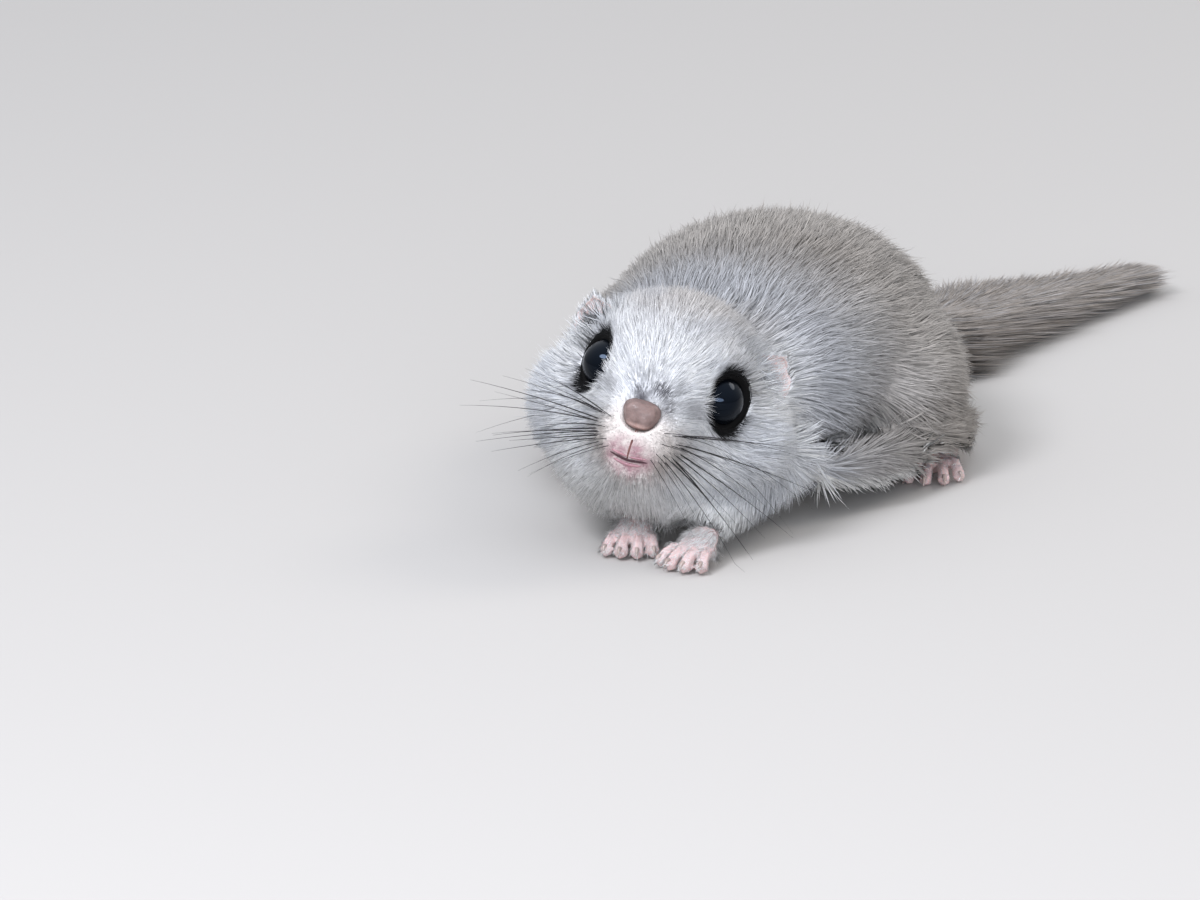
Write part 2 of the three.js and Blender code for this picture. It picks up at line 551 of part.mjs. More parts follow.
// Body, parted from the neck, the thighs and the folds of gliding skin
const gapBehind = scaled(neckAlong, gap);
let neck = trimmed(wholeBody, neckEnd, neckAlong);
neck = trimmed(neck, add(headEnd, gapBehind), scaled(neckAlong, -1));
let torso = trimmed(wholeBody, add(neckEnd, gapBehind), scaled(neckAlong, -1));
torso = trimmed(torso, tailPlane.point, tailPlane.normal);
const clearOfFloor = (solid, height) => trimmed(solid, [0, 0, height], [0, 0, -1]);

const parts = { neck: clearOfFloor(neck, bellyClear), torso: clearOfFloor(torso, bellyClear) };
for (const [name, side] of Object.entries(sides)) {
  const knee = knees[name];
  const thighTool = (grow) => solidOf(new THREE.SphereGeometry(1, 14, 10).scale(13 + grow, 20 + grow, 16 + grow).translate(knee[0] + side * 3, knee[1] + 1, knee[2] + 2));
  const fold = (grow) => limbOf(foldPath(side), [3.4, 4.8, 5.2, 5.4, 4.8, 3.6].map((w) => w + grow), { sideCount: 8, steps: 9, flatness: 1.1 });
  const thigh = parts.torso.intersect(thighTool(0));
  parts.torso = largest(parts.torso.subtract(thighTool(gap)).subtract(fold(gap)));
  parts.neck = largest(parts.neck.subtract(fold(gap)));
  parts[`patagium_${name}`] = clearOfFloor(fold(0), bellyClear);
  parts[`thigh_${name}`] = largest(thigh.subtract(fold(gap)));
}

// Limbs: each is made whole and the coat is cut back round its root
const carveFrom = (solid, names) => {
  for (const name of names) parts[name] = largest(parts[name].subtract(solid));
};
for (const [name, side] of Object.entries(sides)) {
  const fore = foreLimbs[name];
  const arm = limbOf(armPoints(fore), armWidths, { sideCount: 10, steps: 6, blunt: 0.5 });
  const armRoom = limbOf(armPoints(fore), armWidths.map((w) => w + gap), { sideCount: 10, steps: 6, blunt: 0.55 });
  const pawRoomEnd = add(fore.wrist, scaled(unit(sub(fore.wrist, fore.elbow)), 0.5));
  const paw = clearOfFloor(trimmed(pawOf(fore, side, forePawSizes), add(pawRoomEnd, scaled(unit(sub(fore.wrist, fore.elbow)), gap)), unit(sub(fore.elbow, fore.wrist))), 0);
  parts[`forearm_${name}`] = largest(trimmed(arm, pawRoomEnd, unit(sub(fore.wrist, fore.elbow))));
  parts[`forepaw_${name}`] = largest(paw);
  carveFrom(armRoom, ['torso', 'neck', `patagium_${name}`]);
  const hind = hindLimbs[name];
  const foot = pawOf({ wrist: hind.heel, tip: hind.tip }, side, hindPawSizes);
  parts[`hindfoot_${name}`] = largest(clearOfFloor(foot, 0));
  const footRoom = limbOf([hind.heel, scaled(add(hind.heel, hind.tip), 0.5), hind.tip], [5.4, 5.9, 7.4], { sideCount: 8, steps: 6, flatness: 0.9 });
  carveFrom(footRoom, ['torso', `thigh_${name}`, `patagium_${name}`]);
}

const tail = tailSolids();
const beyond = (share, by) => add(tailPath.getPointAt(share).toArray(), scaled(tailPath.getTangentAt(share).toArray(), by));
parts.tail_base = clearOfFloor(trimmed(trimmed(tail.base, add(tailPlane.point, scaled(tailPlane.normal, gap)), scaled(tailPlane.normal, -1)), beyond(plumeStart, 0), tailPath.getTangentAt(plumeStart).toArray()), 0);
parts.tail_plume = clearOfFloor(trimmed(tail.plume, beyond(plumeStart, gap), tailPath.getTangentAt(plumeStart).negate().toArray()), 0);

const finishOf = (name) => (/tail_plume/.test(name) ? 'plumeCoat' : /paw|foot/.test(name) ? 'barePaw' : /torso|tail|thigh|patagium/.test(name) ? 'greyCoat' : 'paleCoat');
for (const [name, solid] of Object.entries(parts)) place(name, largest(solid), finishOf(name));

// The origin is under the middle of the whole, on the floor
root.updateMatrixWorld(true);
const box = new THREE.Box3().setFromObject(root, true);
const middle = box.getCenter(new THREE.Vector3());
const whole = new THREE.Group();
root.position.set(-middle.x, -middle.y, 0);
whole.add(root);

export default whole;
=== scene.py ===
import bmesh
import bpy
import math
import numpy as np
from mathutils import Matrix, Vector


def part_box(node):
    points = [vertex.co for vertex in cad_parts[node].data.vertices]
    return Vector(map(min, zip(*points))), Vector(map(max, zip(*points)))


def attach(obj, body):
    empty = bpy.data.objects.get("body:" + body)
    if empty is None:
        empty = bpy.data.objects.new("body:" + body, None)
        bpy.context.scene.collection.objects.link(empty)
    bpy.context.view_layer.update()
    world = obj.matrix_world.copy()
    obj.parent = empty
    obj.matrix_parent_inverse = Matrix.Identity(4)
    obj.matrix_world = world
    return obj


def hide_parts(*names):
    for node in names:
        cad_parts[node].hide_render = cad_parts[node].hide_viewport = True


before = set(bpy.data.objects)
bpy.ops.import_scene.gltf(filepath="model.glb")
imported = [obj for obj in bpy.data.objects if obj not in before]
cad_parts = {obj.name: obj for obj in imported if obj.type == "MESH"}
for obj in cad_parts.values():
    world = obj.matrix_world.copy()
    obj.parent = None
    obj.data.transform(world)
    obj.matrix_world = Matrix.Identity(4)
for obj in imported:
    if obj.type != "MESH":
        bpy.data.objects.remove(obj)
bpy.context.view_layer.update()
mm = 0.001
rng = np.random.default_rng(20)
sides = {"left": 1, "right": -1}  # the animal's own sides; x grows towards its left

print("stage: frame loaded")


# small helpers

def linear(hexColour):
    # sRGB hex to the linear values that shaders and attributes take
    parts = [int(hexColour[i:i + 2], 16) / 255 for i in (1, 3, 5)]
    return np.array([c / 12.92 if c <= 0.04045 else ((c + 0.055) / 1.055) ** 2.4 for c in parts])


def opaque(hexColour):
    return (*linear(hexColour), 1)


def smooth(low, high, value):
    # 0 at low, 1 at high, eased at both ends
    t = np.clip((value - low) / (high - low), 0, 1)
    return t * t * (3 - 2 * t)


def unit(v):
    return v / np.maximum(np.linalg.norm(v, axis=-1, keepdims=True), 1e-9)


def flattened(v, normals):
    # what is left of v in the plane across the normals
    return v - normals * np.sum(v * normals, axis=1, keepdims=True)


def ripple(p, size, seed=0.0):
    # smooth pseudo-random value from -1 to 1 over points in mm, with blobs about that size across
    q = p * (2.1 / size) + seed
    a = np.sin(q[:, 0] + 1.7 * np.sin(q[:, 1] * 0.9 + seed) + 0.6 * q[:, 2])
    b = np.sin(q[:, 1] * 1.3 + 1.9 * np.sin(q[:, 2] * 1.1 - seed) - 0.4 * q[:, 0])
    c = np.sin(q[:, 2] * 1.2 + 1.5 * np.sin(q[:, 0] * 0.8 + 2 * seed) + 0.5 * q[:, 1])
    return (a + b + c) / 3


def addNode(tree, kind, settings=None, links=None):
    node = tree.nodes.new(kind)
    for name, value in (settings or {}).items():
        if isinstance(name, int) or name in node.inputs:
            node.inputs[name].default_value = value
        else:
            setattr(node, name, value)
    for name, source in (links or {}).items():
        tree.links.new(source, node.inputs[name])
    return node


def newMaterial(name):
    material = bpy.data.materials.new(name)
    material.use_nodes = True
    material.node_tree.nodes.clear()
    return material, material.node_tree


def closeMaterial(tree, shader):
    addNode(tree, "ShaderNodeOutputMaterial", links={"Surface": shader.outputs[0]})


def placed(name, data):
    made = bpy.data.objects.new(name, data)
    bpy.context.scene.collection.objects.link(made)
    return made


def meshObject(name, points, faces, material, smoothShade=True):
    mesh = bpy.data.meshes.new(name)
    mesh.from_pydata([tuple(p) for p in points], [], [tuple(f) for f in faces])
    mesh.materials.append(material)
    outward = bmesh.new()
    outward.from_mesh(mesh)
    bmesh.ops.recalc_face_normals(outward, faces=outward.faces)
    outward.to_mesh(mesh)
    outward.free()
    mesh.polygons.foreach_set("use_smooth", [smoothShade] * len(mesh.polygons))
    mesh.update()
    return placed(name, mesh)


def readAll(items, field, width=1, kind=float):
    # one property of all points, loops or faces of a mesh
    values = np.empty(len(items) * width, dtype=kind)
    items.foreach_get(field, values)
    return values.reshape(-1, width) if width > 1 else values


def meshArrays(mesh):
    mesh.calc_loop_triangles()
    return (readAll(mesh.vertices, "co", 3), readAll(mesh.loop_triangles, "vertices", 3, np.int64),
            readAll(mesh.vertices, "normal", 3))


def paintPoints(mesh, name, colour):
    attribute = mesh.attributes.new(name, "FLOAT_COLOR", "POINT")
    attribute.data.foreach_set("color", np.column_stack([colour, np.ones(len(colour))]).ravel())


def bakeModifiers(piece):
    bpy.context.view_layer.update()
    made = bpy.data.meshes.new_from_object(piece.evaluated_get(bpy.context.evaluated_depsgraph_get()))
    piece.modifiers.clear()
    piece.data = made
    return made


def fineSurface(piece, voxel, smoothing):
    # one even surface instead of the faceted solids, with voxels in mm
    remesh = piece.modifiers.new("fine", "REMESH")
    remesh.mode = "VOXEL"
    remesh.voxel_size = voxel * mm
    even = piece.modifiers.new("even out", "SMOOTH")
    even.factor = 0.5
    even.iterations = smoothing
    made = bakeModifiers(piece)
    made.polygons.foreach_set("use_smooth", [True] * len(made.polygons))
    return made


def joined(shapes):
    # several pairs of points and faces as one
    points, faces, offset = [], [], 0
    for shapePoints, shapeFaces in shapes:
        points.append(shapePoints)
        faces += [tuple(i + offset for i in f) for f in shapeFaces]
        offset += len(shapePoints)
    return np.vstack(points), faces


def tubePoints(path, radii, sideCount, flat=1.0, up=(0, 0, 1)):
    # a closed tube along a path: points and faces
    path = np.array(path, float)
    along = unit(np.gradient(path, axis=0))
    across = unit(np.cross(along, np.array(up, float)))
    lift = np.cross(across, along)
    turns = np.arange(sideCount) * 2 * math.pi / sideCount
    ring = (np.cos(turns)[None, :, None] * across[:, None]
            + flat * np.sin(turns)[None, :, None] * lift[:, None])
    rings = path[:, None] + np.array(radii)[:, None, None] * ring
    domed = 0.6  # how far each end stands out, as a share of its radius
    ends = path[0] - along[0] * radii[0] * domed, path[-1] + along[-1] * radii[-1] * domed
    points = np.vstack([rings.reshape(-1, 3), *ends])
    faces = []
    count = len(path)
    for s in range(sideCount):
        n = (s + 1) % sideCount
        for r in range(count - 1):
            low, high = r * sideCount, (r + 1) * sideCount
            faces.append((low + s, high + s, high + n, low + n))
        faces.append((count * sideCount, s, n))
        faces.append((count * sideCount + 1, (count - 1) * sideCount + n, (count - 1) * sideCount + s))
    return points, faces


def curveThrough(points, count):
    # an even, smooth run through points
    points = np.array(points, float)
    padded = np.vstack([2 * points[0] - points[1], points, 2 * points[-1] - points[-2]])
    run = []
    for i in range(1, len(padded) - 2):
        p0, p1, p2, p3 = padded[i - 1:i + 3]
        for t in np.linspace(0, 1, 40, endpoint=False):
            run.append(0.5 * (2 * p1 + (p2 - p0) * t + (2 * p0 - 5 * p1 + 4 * p2 - p3) * t * t
                              + (3 * p1 - p0 - 3 * p2 + p3) * t ** 3))
    run = np.array(run + [points[-1]])
    reach = np.concatenate([[0], np.cumsum(np.linalg.norm(np.diff(run, axis=0), axis=1))])
    at = np.linspace(0, reach[-1], count)
    return np.stack([np.interp(at, reach, run[:, k]) for k in range(3)], axis=1)


# the head's own frame, from the eyeballs and the head's pose, in mm: x is the animal's left, y back, z up
headPose = {"turn": 6, "lift": 15, "tilt": 15, "eyeSpread": 9.7, "eyeDepth": 2.2, "eyeLineHeight": 30.8,
            "eyeRadius": 5.0, "noseTip": (0, -12.5, -8.0)}


def centreOf(node):
    low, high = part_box(node)
    return np.array((low + high) / 2) / mm


headTurn = np.array(Matrix.Rotation(math.radians(headPose["turn"]), 3, "Z")
                    @ Matrix.Rotation(math.radians(-headPose["lift"]), 3, "X")
                    @ Matrix.Rotation(math.radians(headPose["tilt"]), 3, "Y"))
eyeMiddle = (centreOf("eye_left") + centreOf("eye_right")) / 2
headOrigin = eyeMiddle - headTurn @ np.array([0, headPose["eyeDepth"], 0])
partShift = headOrigin - np.array([0, 0, headPose["eyeLineHeight"]])  # from the part's layout to the row's


def fromHead(p):
    return np.asarray(p, float) @ headTurn.T + headOrigin


def toHead(p):
    return (np.asarray(p, float) - headOrigin) @ headTurn


def headShare(h, back, front, chin=None):
    # 1 on the head, 0 behind it, and 0 under it where chin gives the two heights
    share = smooth(back, front, h[:, 1])
    return share * smooth(*chin, h[:, 2]) if chin else share


def noseDistance(h):
    return np.linalg.norm(h - np.array(headPose["noseTip"]), axis=1)


# the eyes' openings: turned out by yaw degrees, slanted, with half sizes to the edge of the dark ring in mm
eyeOpening = {"yaw": 52, "facingRise": 0.06, "slant": 14, "halfWidth": 4.35, "halfHeight": 5.75, "ahead": 3,
              "behind": -5, "outside": 9.0}


def eyeCentre(side):
    return np.array([side * headPose["eyeSpread"], headPose["eyeDepth"], 0])


def eyeFrame(side):
    # facing, across and up of an eye's opening, in the head's frame; the almond leans in at the top
    yaw = math.radians(eyeOpening["yaw"])
    facing = unit(np.array([side * math.sin(yaw), -math.cos(yaw), eyeOpening["facingRise"]]))
    flatAcross = unit(np.cross([0, 0, 1], facing))
    flatUp = np.cross(facing, flatAcross)
    slant = math.radians(side * eyeOpening["slant"])
    across = flatAcross * math.cos(slant) + flatUp * math.sin(slant)
    return facing, across, np.cross(facing, across)


def eyeDistance(h, side):
    # 1 on the edge of the dark ring round an eye
    facing, across, up = eyeFrame(side)
    q = h - eyeCentre(side) - facing * eyeOpening["ahead"]
    r = np.hypot(q @ across / eyeOpening["halfWidth"], q @ up / eyeOpening["halfHeight"])
    return np.where(q @ facing > eyeOpening["behind"], r, eyeOpening["outside"])


mouthPatch = {"halfWidth": 4.7, "halfHeight": 3.6, "drop": 13.6, "depth": (-3, -6)}


def mouthShare(h, outer, inner):
    # 1 on the bare skin round the mouth
    patch = mouthPatch
    away = np.hypot(h[:, 0] / patch["halfWidth"], (h[:, 2] + patch["drop"]) / patch["halfHeight"])
    return smooth(outer, inner, away) * smooth(*patch["depth"], h[:, 1])


earRoot = {"place": (15.0, 6.5, 5.0), "fluff": (7.5, 3.0)}


def earRootShare(h):
    # 1 in the fluff at the root of an ear
    x, y, z = earRoot["place"]
    return np.maximum(*[smooth(*earRoot["fluff"], np.linalg.norm(h - np.array([side * x, y, z]), axis=1))
                        for side in sides.values()])


foreLimbs = {
    "left": {"elbow": (17, 24, 14), "wrist": (9.6, -2.6, 5.6), "tip": (6.2, -13.2, 1.3)},
    "right": {"elbow": (-16.5, 27, 14), "wrist": (-5.4, 3.4, 5.6), "tip": (-3.9, -7.6, 1.3)},
}


def nearLimb(part, limb):
    # how far along the forearm a point lies, from 0 to 1, and how far from its axis in mm
    start, end = np.array(limb["elbow"], float), np.array(limb["wrist"], float)
    t = np.clip((part - start) @ (end - start) / ((end - start) @ (end - start)), 0, 1.0)
    return t, np.linalg.norm(part - start - t[:, None] * (end - start), axis=1)


# coat colours of a Siberian flying squirrel in winter: bluish white face, silver grey back, white belly and
# grey-brown plume
coatColours = {
    "faceWhite": "#FAFBFE", "faceGrey": "#C4C8D0", "crown": "#D2CCC8", "smudge": "#4E4C52",
    "eyeRing": "#08080A", "lip": "#AB828C", "muzzle": "#DCD0C8", "throat": "#FAFAF8",
    "back": "#BDB7B1", "backDark": "#938B84", "belly": "#F9F8F5", "flankEdge": "#978F87",
    "plume": "#ADA49C", "plumeDark": "#71675F", "paw": "#F8F4F2",
}
shade = {name: linear(value) for name, value in coatColours.items()}

# where the markings and the painted shade fade in and are full: mm in the part's own layout, or in the head's
# frame for the face
bodyMarks = {
    "darkPatches": (0.1, 0.8), "darkHeight": (20, 34), "shoulders": (60, 24), "flankOut": (20, 26),
    "flankHeight": (22, 12), "facingDown": (0.1, -0.55), "bellyHeight": (20, 9), "tailStart": (92, 116),
}
faceMarksAndShade = {
    "crownHeight": (5, 13), "crownOut": (16, 8), "streakStretch": (1, 0.35, 1), "streaks": (-0.1, 0.9),
    # the three cheek keys place the painted shade on the sides of the lower cheeks
    "cheekShadeOut": (11, 16), "cheekShadeTop": (-3, -9), "cheekShadeFoot": (-17, -11), "throat": (-15, -20),
    "muzzleEdge": (1.9, 1.0), "muzzleHalf": (5.5, 4.5), "muzzleDrop": 11, "muzzleDepth": (4, -4),
    "smudgeSide": 1.2, "smudgeOut": (5.2, 2.4), "smudgeFoot": (-7.0, -4.6), "smudgeTop": (2.1, -2.0),
    "smudgeDepth": (0, -5), "mouthEdge": (1.3, 0.6), "ringShadow": (1.35, 1.08), "ringEdge": (1.12, 1.0),
    "tearCorner": (6.6, -5.6, -3.2), "tearStretch": (1, 0.6, 1.2), "tearEdge": (3.0, 1.0),
}


def layered(base, *layers):
    # each colour laid over the ones before it, by its share at each point
    for colour, share in layers:
        base = base + (colour - base) * share[:, None]
    return base


def bodyColourAt(p, part, normals):
    x, y, z = part.T
    mark = bodyMarks
    patches = 0.45 * smooth(*mark["darkPatches"], ripple(p, 26, 3.0))
    return layered(
        np.tile(shade["back"], (len(p), 1)),
        (shade["backDark"], patches * smooth(*mark["darkHeight"], z)),
        (shade["faceGrey"], smooth(*mark["shoulders"], y) * 0.8),
        (shade["flankEdge"], 0.55 * smooth(*mark["flankOut"], np.abs(x)) * smooth(*mark["flankHeight"], z)),
        (shade["belly"], smooth(*mark["facingDown"], normals[:, 2]) * smooth(*mark["bellyHeight"], z)),
        (shade["plume"] * 0.85, smooth(*mark["tailStart"], y)))


def faceColourAt(h):
    x, y, z = h.T
    mark = faceMarksAndShade
    crown = smooth(*mark["crownHeight"], z + 1.5 * ripple(h, 9, 1.0))
    streaks = smooth(*mark["streaks"], ripple(h * np.array(mark["streakStretch"]), 4.5, 5.0))
    # painted shade: grey on the sides of the lower cheeks, 0.4 at most
    cheek = 0.4 * smooth(*mark["cheekShadeOut"], np.abs(x))
    cheek = cheek * smooth(*mark["cheekShadeTop"], z) * smooth(*mark["cheekShadeFoot"], z)
    halfWidth, halfHeight = mark["muzzleHalf"]
    muzzle = smooth(*mark["muzzleEdge"], np.hypot(x / halfWidth, (z + mark["muzzleDrop"]) / halfHeight))
    bridge = (smooth(*mark["smudgeOut"], np.abs(x - mark["smudgeSide"])) * smooth(*mark["smudgeFoot"], z)
              * smooth(*mark["smudgeTop"], z) * smooth(*mark["smudgeDepth"], y))
    mottle = np.clip(0.62 + 0.5 * ripple(h, 1.3, 6.1) + 0.3 * ripple(h, 0.6, 1.7), 0, 0.95)
    face = layered(
        np.tile(shade["faceWhite"], (len(h), 1)),
        (shade["crown"], 0.8 * crown * smooth(*mark["crownOut"], np.abs(x))),
        (shade["faceGrey"], 0.42 * streaks),
        # the painted shade on the lower cheeks
        (shade["faceGrey"], cheek),
        (shade["throat"], smooth(*mark["throat"], z)),
        (shade["muzzle"], 0.75 * muzzle * smooth(*mark["muzzleDepth"], y)),
        (shade["smudge"], np.clip(0.7 + 0.5 * ripple(h, 1.5, 3.3), 0, 0.95) * bridge),
        (shade["lip"], mottle * mouthShare(h, *mark["mouthEdge"])))
    cornerX, cornerY, cornerZ = mark["tearCorner"]
    for side in sides.values():
        ring = eyeDistance(h, side)
        corner = (h - np.array([side * cornerX, cornerY, cornerZ])) * np.array(mark["tearStretch"])
        tear = np.linalg.norm(corner, axis=1)
        face = layered(
            face,
            (shade["smudge"], 0.35 * smooth(*mark["ringShadow"], ring + 0.12 * ripple(h, 2.2, 2.0))),
            (shade["smudge"], 0.4 * smooth(*mark["tearEdge"], tear)),  # the dark line from the front corner
            (shade["eyeRing"], smooth(*mark["ringEdge"], ring + 0.05 * ripple(h, 1.6, 7.0))))
    return face


def coatColourAt(p, normals):
    # the coat's markings and the painted shade on the face at points in mm: the same for the skin and for the
    # hair that grows from it
    h = toHead(p)
    body = bodyColourAt(p, p - partShift, normals)
    return layered(body, (faceColourAt(h), headShare(h, 28, 17, (-27, -22))))


# mm of hair, and how its length grows away from the nose, the eyes and the wrists
hairLength = {
    "nose": 0.9, "faceGain": 2.1, "faceRun": (2, 15), "cheekGain": 2.2, "cheekRun": (14, 30),
    "eyeRim": 1.25, "eyeGain": 2.8, "eyeRun": (0.85, 1.9), "mouthEdge": (1.4, 0.8), "mouthCut": 0.55,
    "earRootGain": 1.2, "body": 7.4, "tailGain": 6.5, "tailRun": (98, 112), "elbow": 5.4, "wristCut": 2.6,
    "limbReach": 9.5, "limbRadius": 6,
}


def coatLengthAt(p):
    # mm of hair: shortest round the nose, long on the cheeks and the body
    h = toHead(p)
    part = p - partShift
    plan = hairLength
    away = noseDistance(h)
    face = plan["nose"] + plan["faceGain"] * smooth(*plan["faceRun"], away)
    face = face + plan["cheekGain"] * smooth(*plan["cheekRun"], away)
    for side in sides.values():
        byEye = plan["eyeRim"] + plan["eyeGain"] * smooth(*plan["eyeRun"], eyeDistance(h, side))
        face = np.minimum(face, byEye)
    mouth = mouthShare(h, *plan["mouthEdge"])
    face = face * (1 - plan["mouthCut"] * mouth) + plan["earRootGain"] * earRootShare(h)
    body = plan["body"] + plan["tailGain"] * smooth(*plan["tailRun"], part[:, 1])
    length = body + (face - body) * headShare(h, 30, 18, (-30, -24))
    for limb in foreLimbs.values():
        near, away = nearLimb(part, limb)
        onArm = plan["elbow"] - plan["wristCut"] * near + np.maximum(away - plan["limbRadius"], 0)
        length = np.where(away < plan["limbReach"], np.minimum(length, onArm), length)
    return length


def coatRiseAt(p):
    # how far a hair's tip stands off the skin, as a share of its length: sleek on the nose and back, and
    # fluffed on the cheeks
    h = toHead(p)
    sleek = 0.25
    cheek = smooth(9, 17, np.abs(h[:, 0])) * smooth(-2, 6, h[:, 1])
    face = 0.24 + 0.16 * smooth(2, 16, noseDistance(h)) + 0.1 * cheek + 0.12 * earRootShare(h)
    return sleek + (face - sleek) * headShare(h, 30, 18)


liePlan = {"partsFrom": (0, -14.5, -6.5), "eyeOut": 10.5, "eyePull": 1.6, "limbPull": 2.5, "flankFall": 0.5,
           "outward": 0.14, "rumpFall": 1.6, "swirl": 0.26, "stray": 0.12}


def coatLieAt(p, normals):
    # the way the hair lies: away from the nose and the eyes on the face, then back, down the flanks and
    # along the limbs
    h = toHead(p)
    x, y, z = (p - partShift).T
    face = unit(h - np.array(liePlan["partsFrom"]))
    for side in sides.values():
        eye = np.array([side * liePlan["eyeOut"], 0, 0])
        face = face + unit(h - eye) * (liePlan["eyePull"] * smooth(2.0, 0.9, eyeDistance(h, side)))[:, None]
    face = face @ headTurn.T
    rump = liePlan["rumpFall"] * smooth(0.2, 0.9, normals[:, 1]) * smooth(9, 16, z) * smooth(60, 75, y)
    fall = -liePlan["flankFall"] * np.clip(np.abs(x) / 26, 0, 1) - rump
    body = np.stack([liePlan["outward"] * np.clip(x / 16, -1, 1), np.ones(len(p)), fall], axis=1)
    onHead = headShare(h, 26, 12)[:, None]
    lie = unit(face) * onHead + unit(body) * (1 - onHead)
    for limb in foreLimbs.values():
        near, away = nearLimb(p - partShift, limb)
        along = unit(np.array(limb["wrist"], float) - np.array(limb["elbow"], float))
        lie = lie + along * (liePlan["limbPull"] * smooth(8.5, 6.5, away) * smooth(0.1, 0.5, near))[:, None]
    lie = unit(flattened(lie, normals))
    turn = liePlan["swirl"] * ripple(p, 7, 9.0) + liePlan["stray"] * ripple(p, 2.6, 4.0)
    return unit(lie + np.cross(normals, lie) * turn[:, None])


# the unwrap that the skin and every hair share: the face seen from its front, and the rest rolled out
# round the body
unwrapPlan = {"faceMiddle": (0.25, 0.75), "faceRadius": 0.23, "faceAxis": -6, "bodyStart": 0.02,
              "bodyLong": 0.92, "bodyRound": 0.46, "bodyAxis": 18, "seam": 0.25, "hairPatch": (0.0015, 0.003)}


def unwrapAt(p, frontal):
    x, y, z = toHead(p).T
    z = z - unwrapPlan["faceAxis"]
    reach = np.hypot(x, z)
    apart = np.maximum(reach, 1e-6)
    spread = np.arctan2(reach, np.maximum(26 - (y + 12) * 0.9, 2)) / (0.62 * math.pi)
    (middleU, middleV), radius = unwrapPlan["faceMiddle"], unwrapPlan["faceRadius"]
    front = np.stack([middleU + radius * spread * x / apart, middleV + radius * spread * z / apart], axis=1)
    part = p - partShift
    turn = np.arctan2(part[:, 0], part[:, 2] - unwrapPlan["bodyAxis"]) / (2 * math.pi) + 0.5
    length = np.clip((part[:, 1] + 18) / 230, 0, 1)
    start = unwrapPlan["bodyStart"]
    rolled = [start + unwrapPlan["bodyLong"] * length, start + unwrapPlan["bodyRound"] * turn]
    return np.where(frontal[:, None], front, np.stack(rolled, axis=1))


def isFrontal(p):
    return toHead(p)[:, 1] < 9


# materials

def pigmented(tree, scale, detail, fades, strengths):
    # the coat's own colour, varied by a fine noise: its colour and the noise
    pigment = addNode(tree, "ShaderNodeAttribute", {"attribute_name": "coat"})
    place = addNode(tree, "ShaderNodeTexCoord")
    noise = addNode(tree, "ShaderNodeTexNoise", {"Scale": scale, "Detail": detail},
                    {"Vector": place.outputs["Object"]})
    span = {"From Min": fades[0], "From Max": fades[1], "To Min": strengths[0], "To Max": strengths[1]}
    vary = addNode(tree, "ShaderNodeMapRange", span, {"Value": noise.outputs["Fac"]})
    tinted = addNode(tree, "ShaderNodeVectorMath", {"operation": "SCALE"},
                     {0: pigment.outputs["Color"], "Scale": vary.outputs[0]})
    return tinted.outputs[0], noise.outputs["Fac"]


def furMaterial(name, roughness):
    # keratin hair: pigment in 1 mm flecks along the hair, a soft broad gloss, and slightly translucent
    material, tree = newMaterial(name)
    colour, _ = pigmented(tree, 900.0, 2.0, (0.3, 0.7), (0.9, 1.08))
    hair = {"Roughness": roughness, "IOR": 1.55, "Specular IOR Level": 0.2,
            "Sheen Weight": 0.04, "Sheen Roughness": 0.4}
    shader = addNode(tree, "ShaderNodeBsdfPrincipled", hair, {"Base Color": colour})
    through = addNode(tree, "ShaderNodeBsdfTranslucent", links={"Color": colour})
    mixed = addNode(tree, "ShaderNodeMixShader", {0: 0.3}, {1: shader.outputs[0], 2: through.outputs[0]})
    closeMaterial(tree, mixed)
    return material


def underfurMaterial():
    # woolly underfur over skin: the same pigment, darker between the hairs, in a fine mottle of about 0.5 mm
    material, tree = newMaterial("underfur")
    colour, streaks = pigmented(tree, 2200.0, 4.0, (0.25, 0.75), (0.75, 1.0))
    bump = addNode(tree, "ShaderNodeBump", {"Strength": 0.8, "Distance": 0.3 * mm}, {"Height": streaks})
    wool = {"Roughness": 0.85, "IOR": 1.5, "Specular IOR Level": 0.2}
    shader = addNode(tree, "ShaderNodeBsdfPrincipled", wool,
                     {"Base Color": colour, "Normal": bump.outputs[0]})
    closeMaterial(tree, shader)
    return material


def bareSkinMaterial(name, light, dark, grit, roughness, depth, wet=0.0, soft=0.15, painted=None, gloss=0.4):
    # living skin: blood-tinted, finely pebbled, a little light passes through; grit is the pebble size in mm
    material, tree = newMaterial(name)
    place = {"Vector": addNode(tree, "ShaderNodeTexCoord").outputs["Object"]}
    pebbles = addNode(tree, "ShaderNodeTexVoronoi", {"Scale": 1000.0 / grit}, place)
    blotch = addNode(tree, "ShaderNodeTexNoise", {"Scale": 420.0, "Detail": 3.0}, place)
    tone = addNode(tree, "ShaderNodeMix", {"data_type": "RGBA", "A": opaque(dark), "B": opaque(light)},
                   {"Factor": blotch.outputs["Fac"]})
    if painted:
        paint = addNode(tree, "ShaderNodeAttribute", {"attribute_name": painted})
        tone = addNode(tree, "ShaderNodeMix", {"data_type": "RGBA", "blend_type": "MULTIPLY", "Factor": 1.0},
                       {"A": tone.outputs["Result"], "B": paint.outputs["Color"]})
    bump = addNode(tree, "ShaderNodeBump", {"Strength": 0.7, "Distance": depth * mm},
                   {"Height": pebbles.outputs["Distance"]})
    skinLook = {"Roughness": roughness, "IOR": 1.42, "Specular IOR Level": gloss, "Coat Weight": wet,
                "Coat Roughness": 0.15, "Subsurface Weight": soft, "Subsurface Scale": 1.2 * mm,
                "Subsurface Radius": (1.0, 0.4, 0.3)}
    shader = addNode(tree, "ShaderNodeBsdfPrincipled", skinLook,
                     {"Base Color": tone.outputs["Result"], "Normal": bump.outputs[0]})
    closeMaterial(tree, shader)
    return material


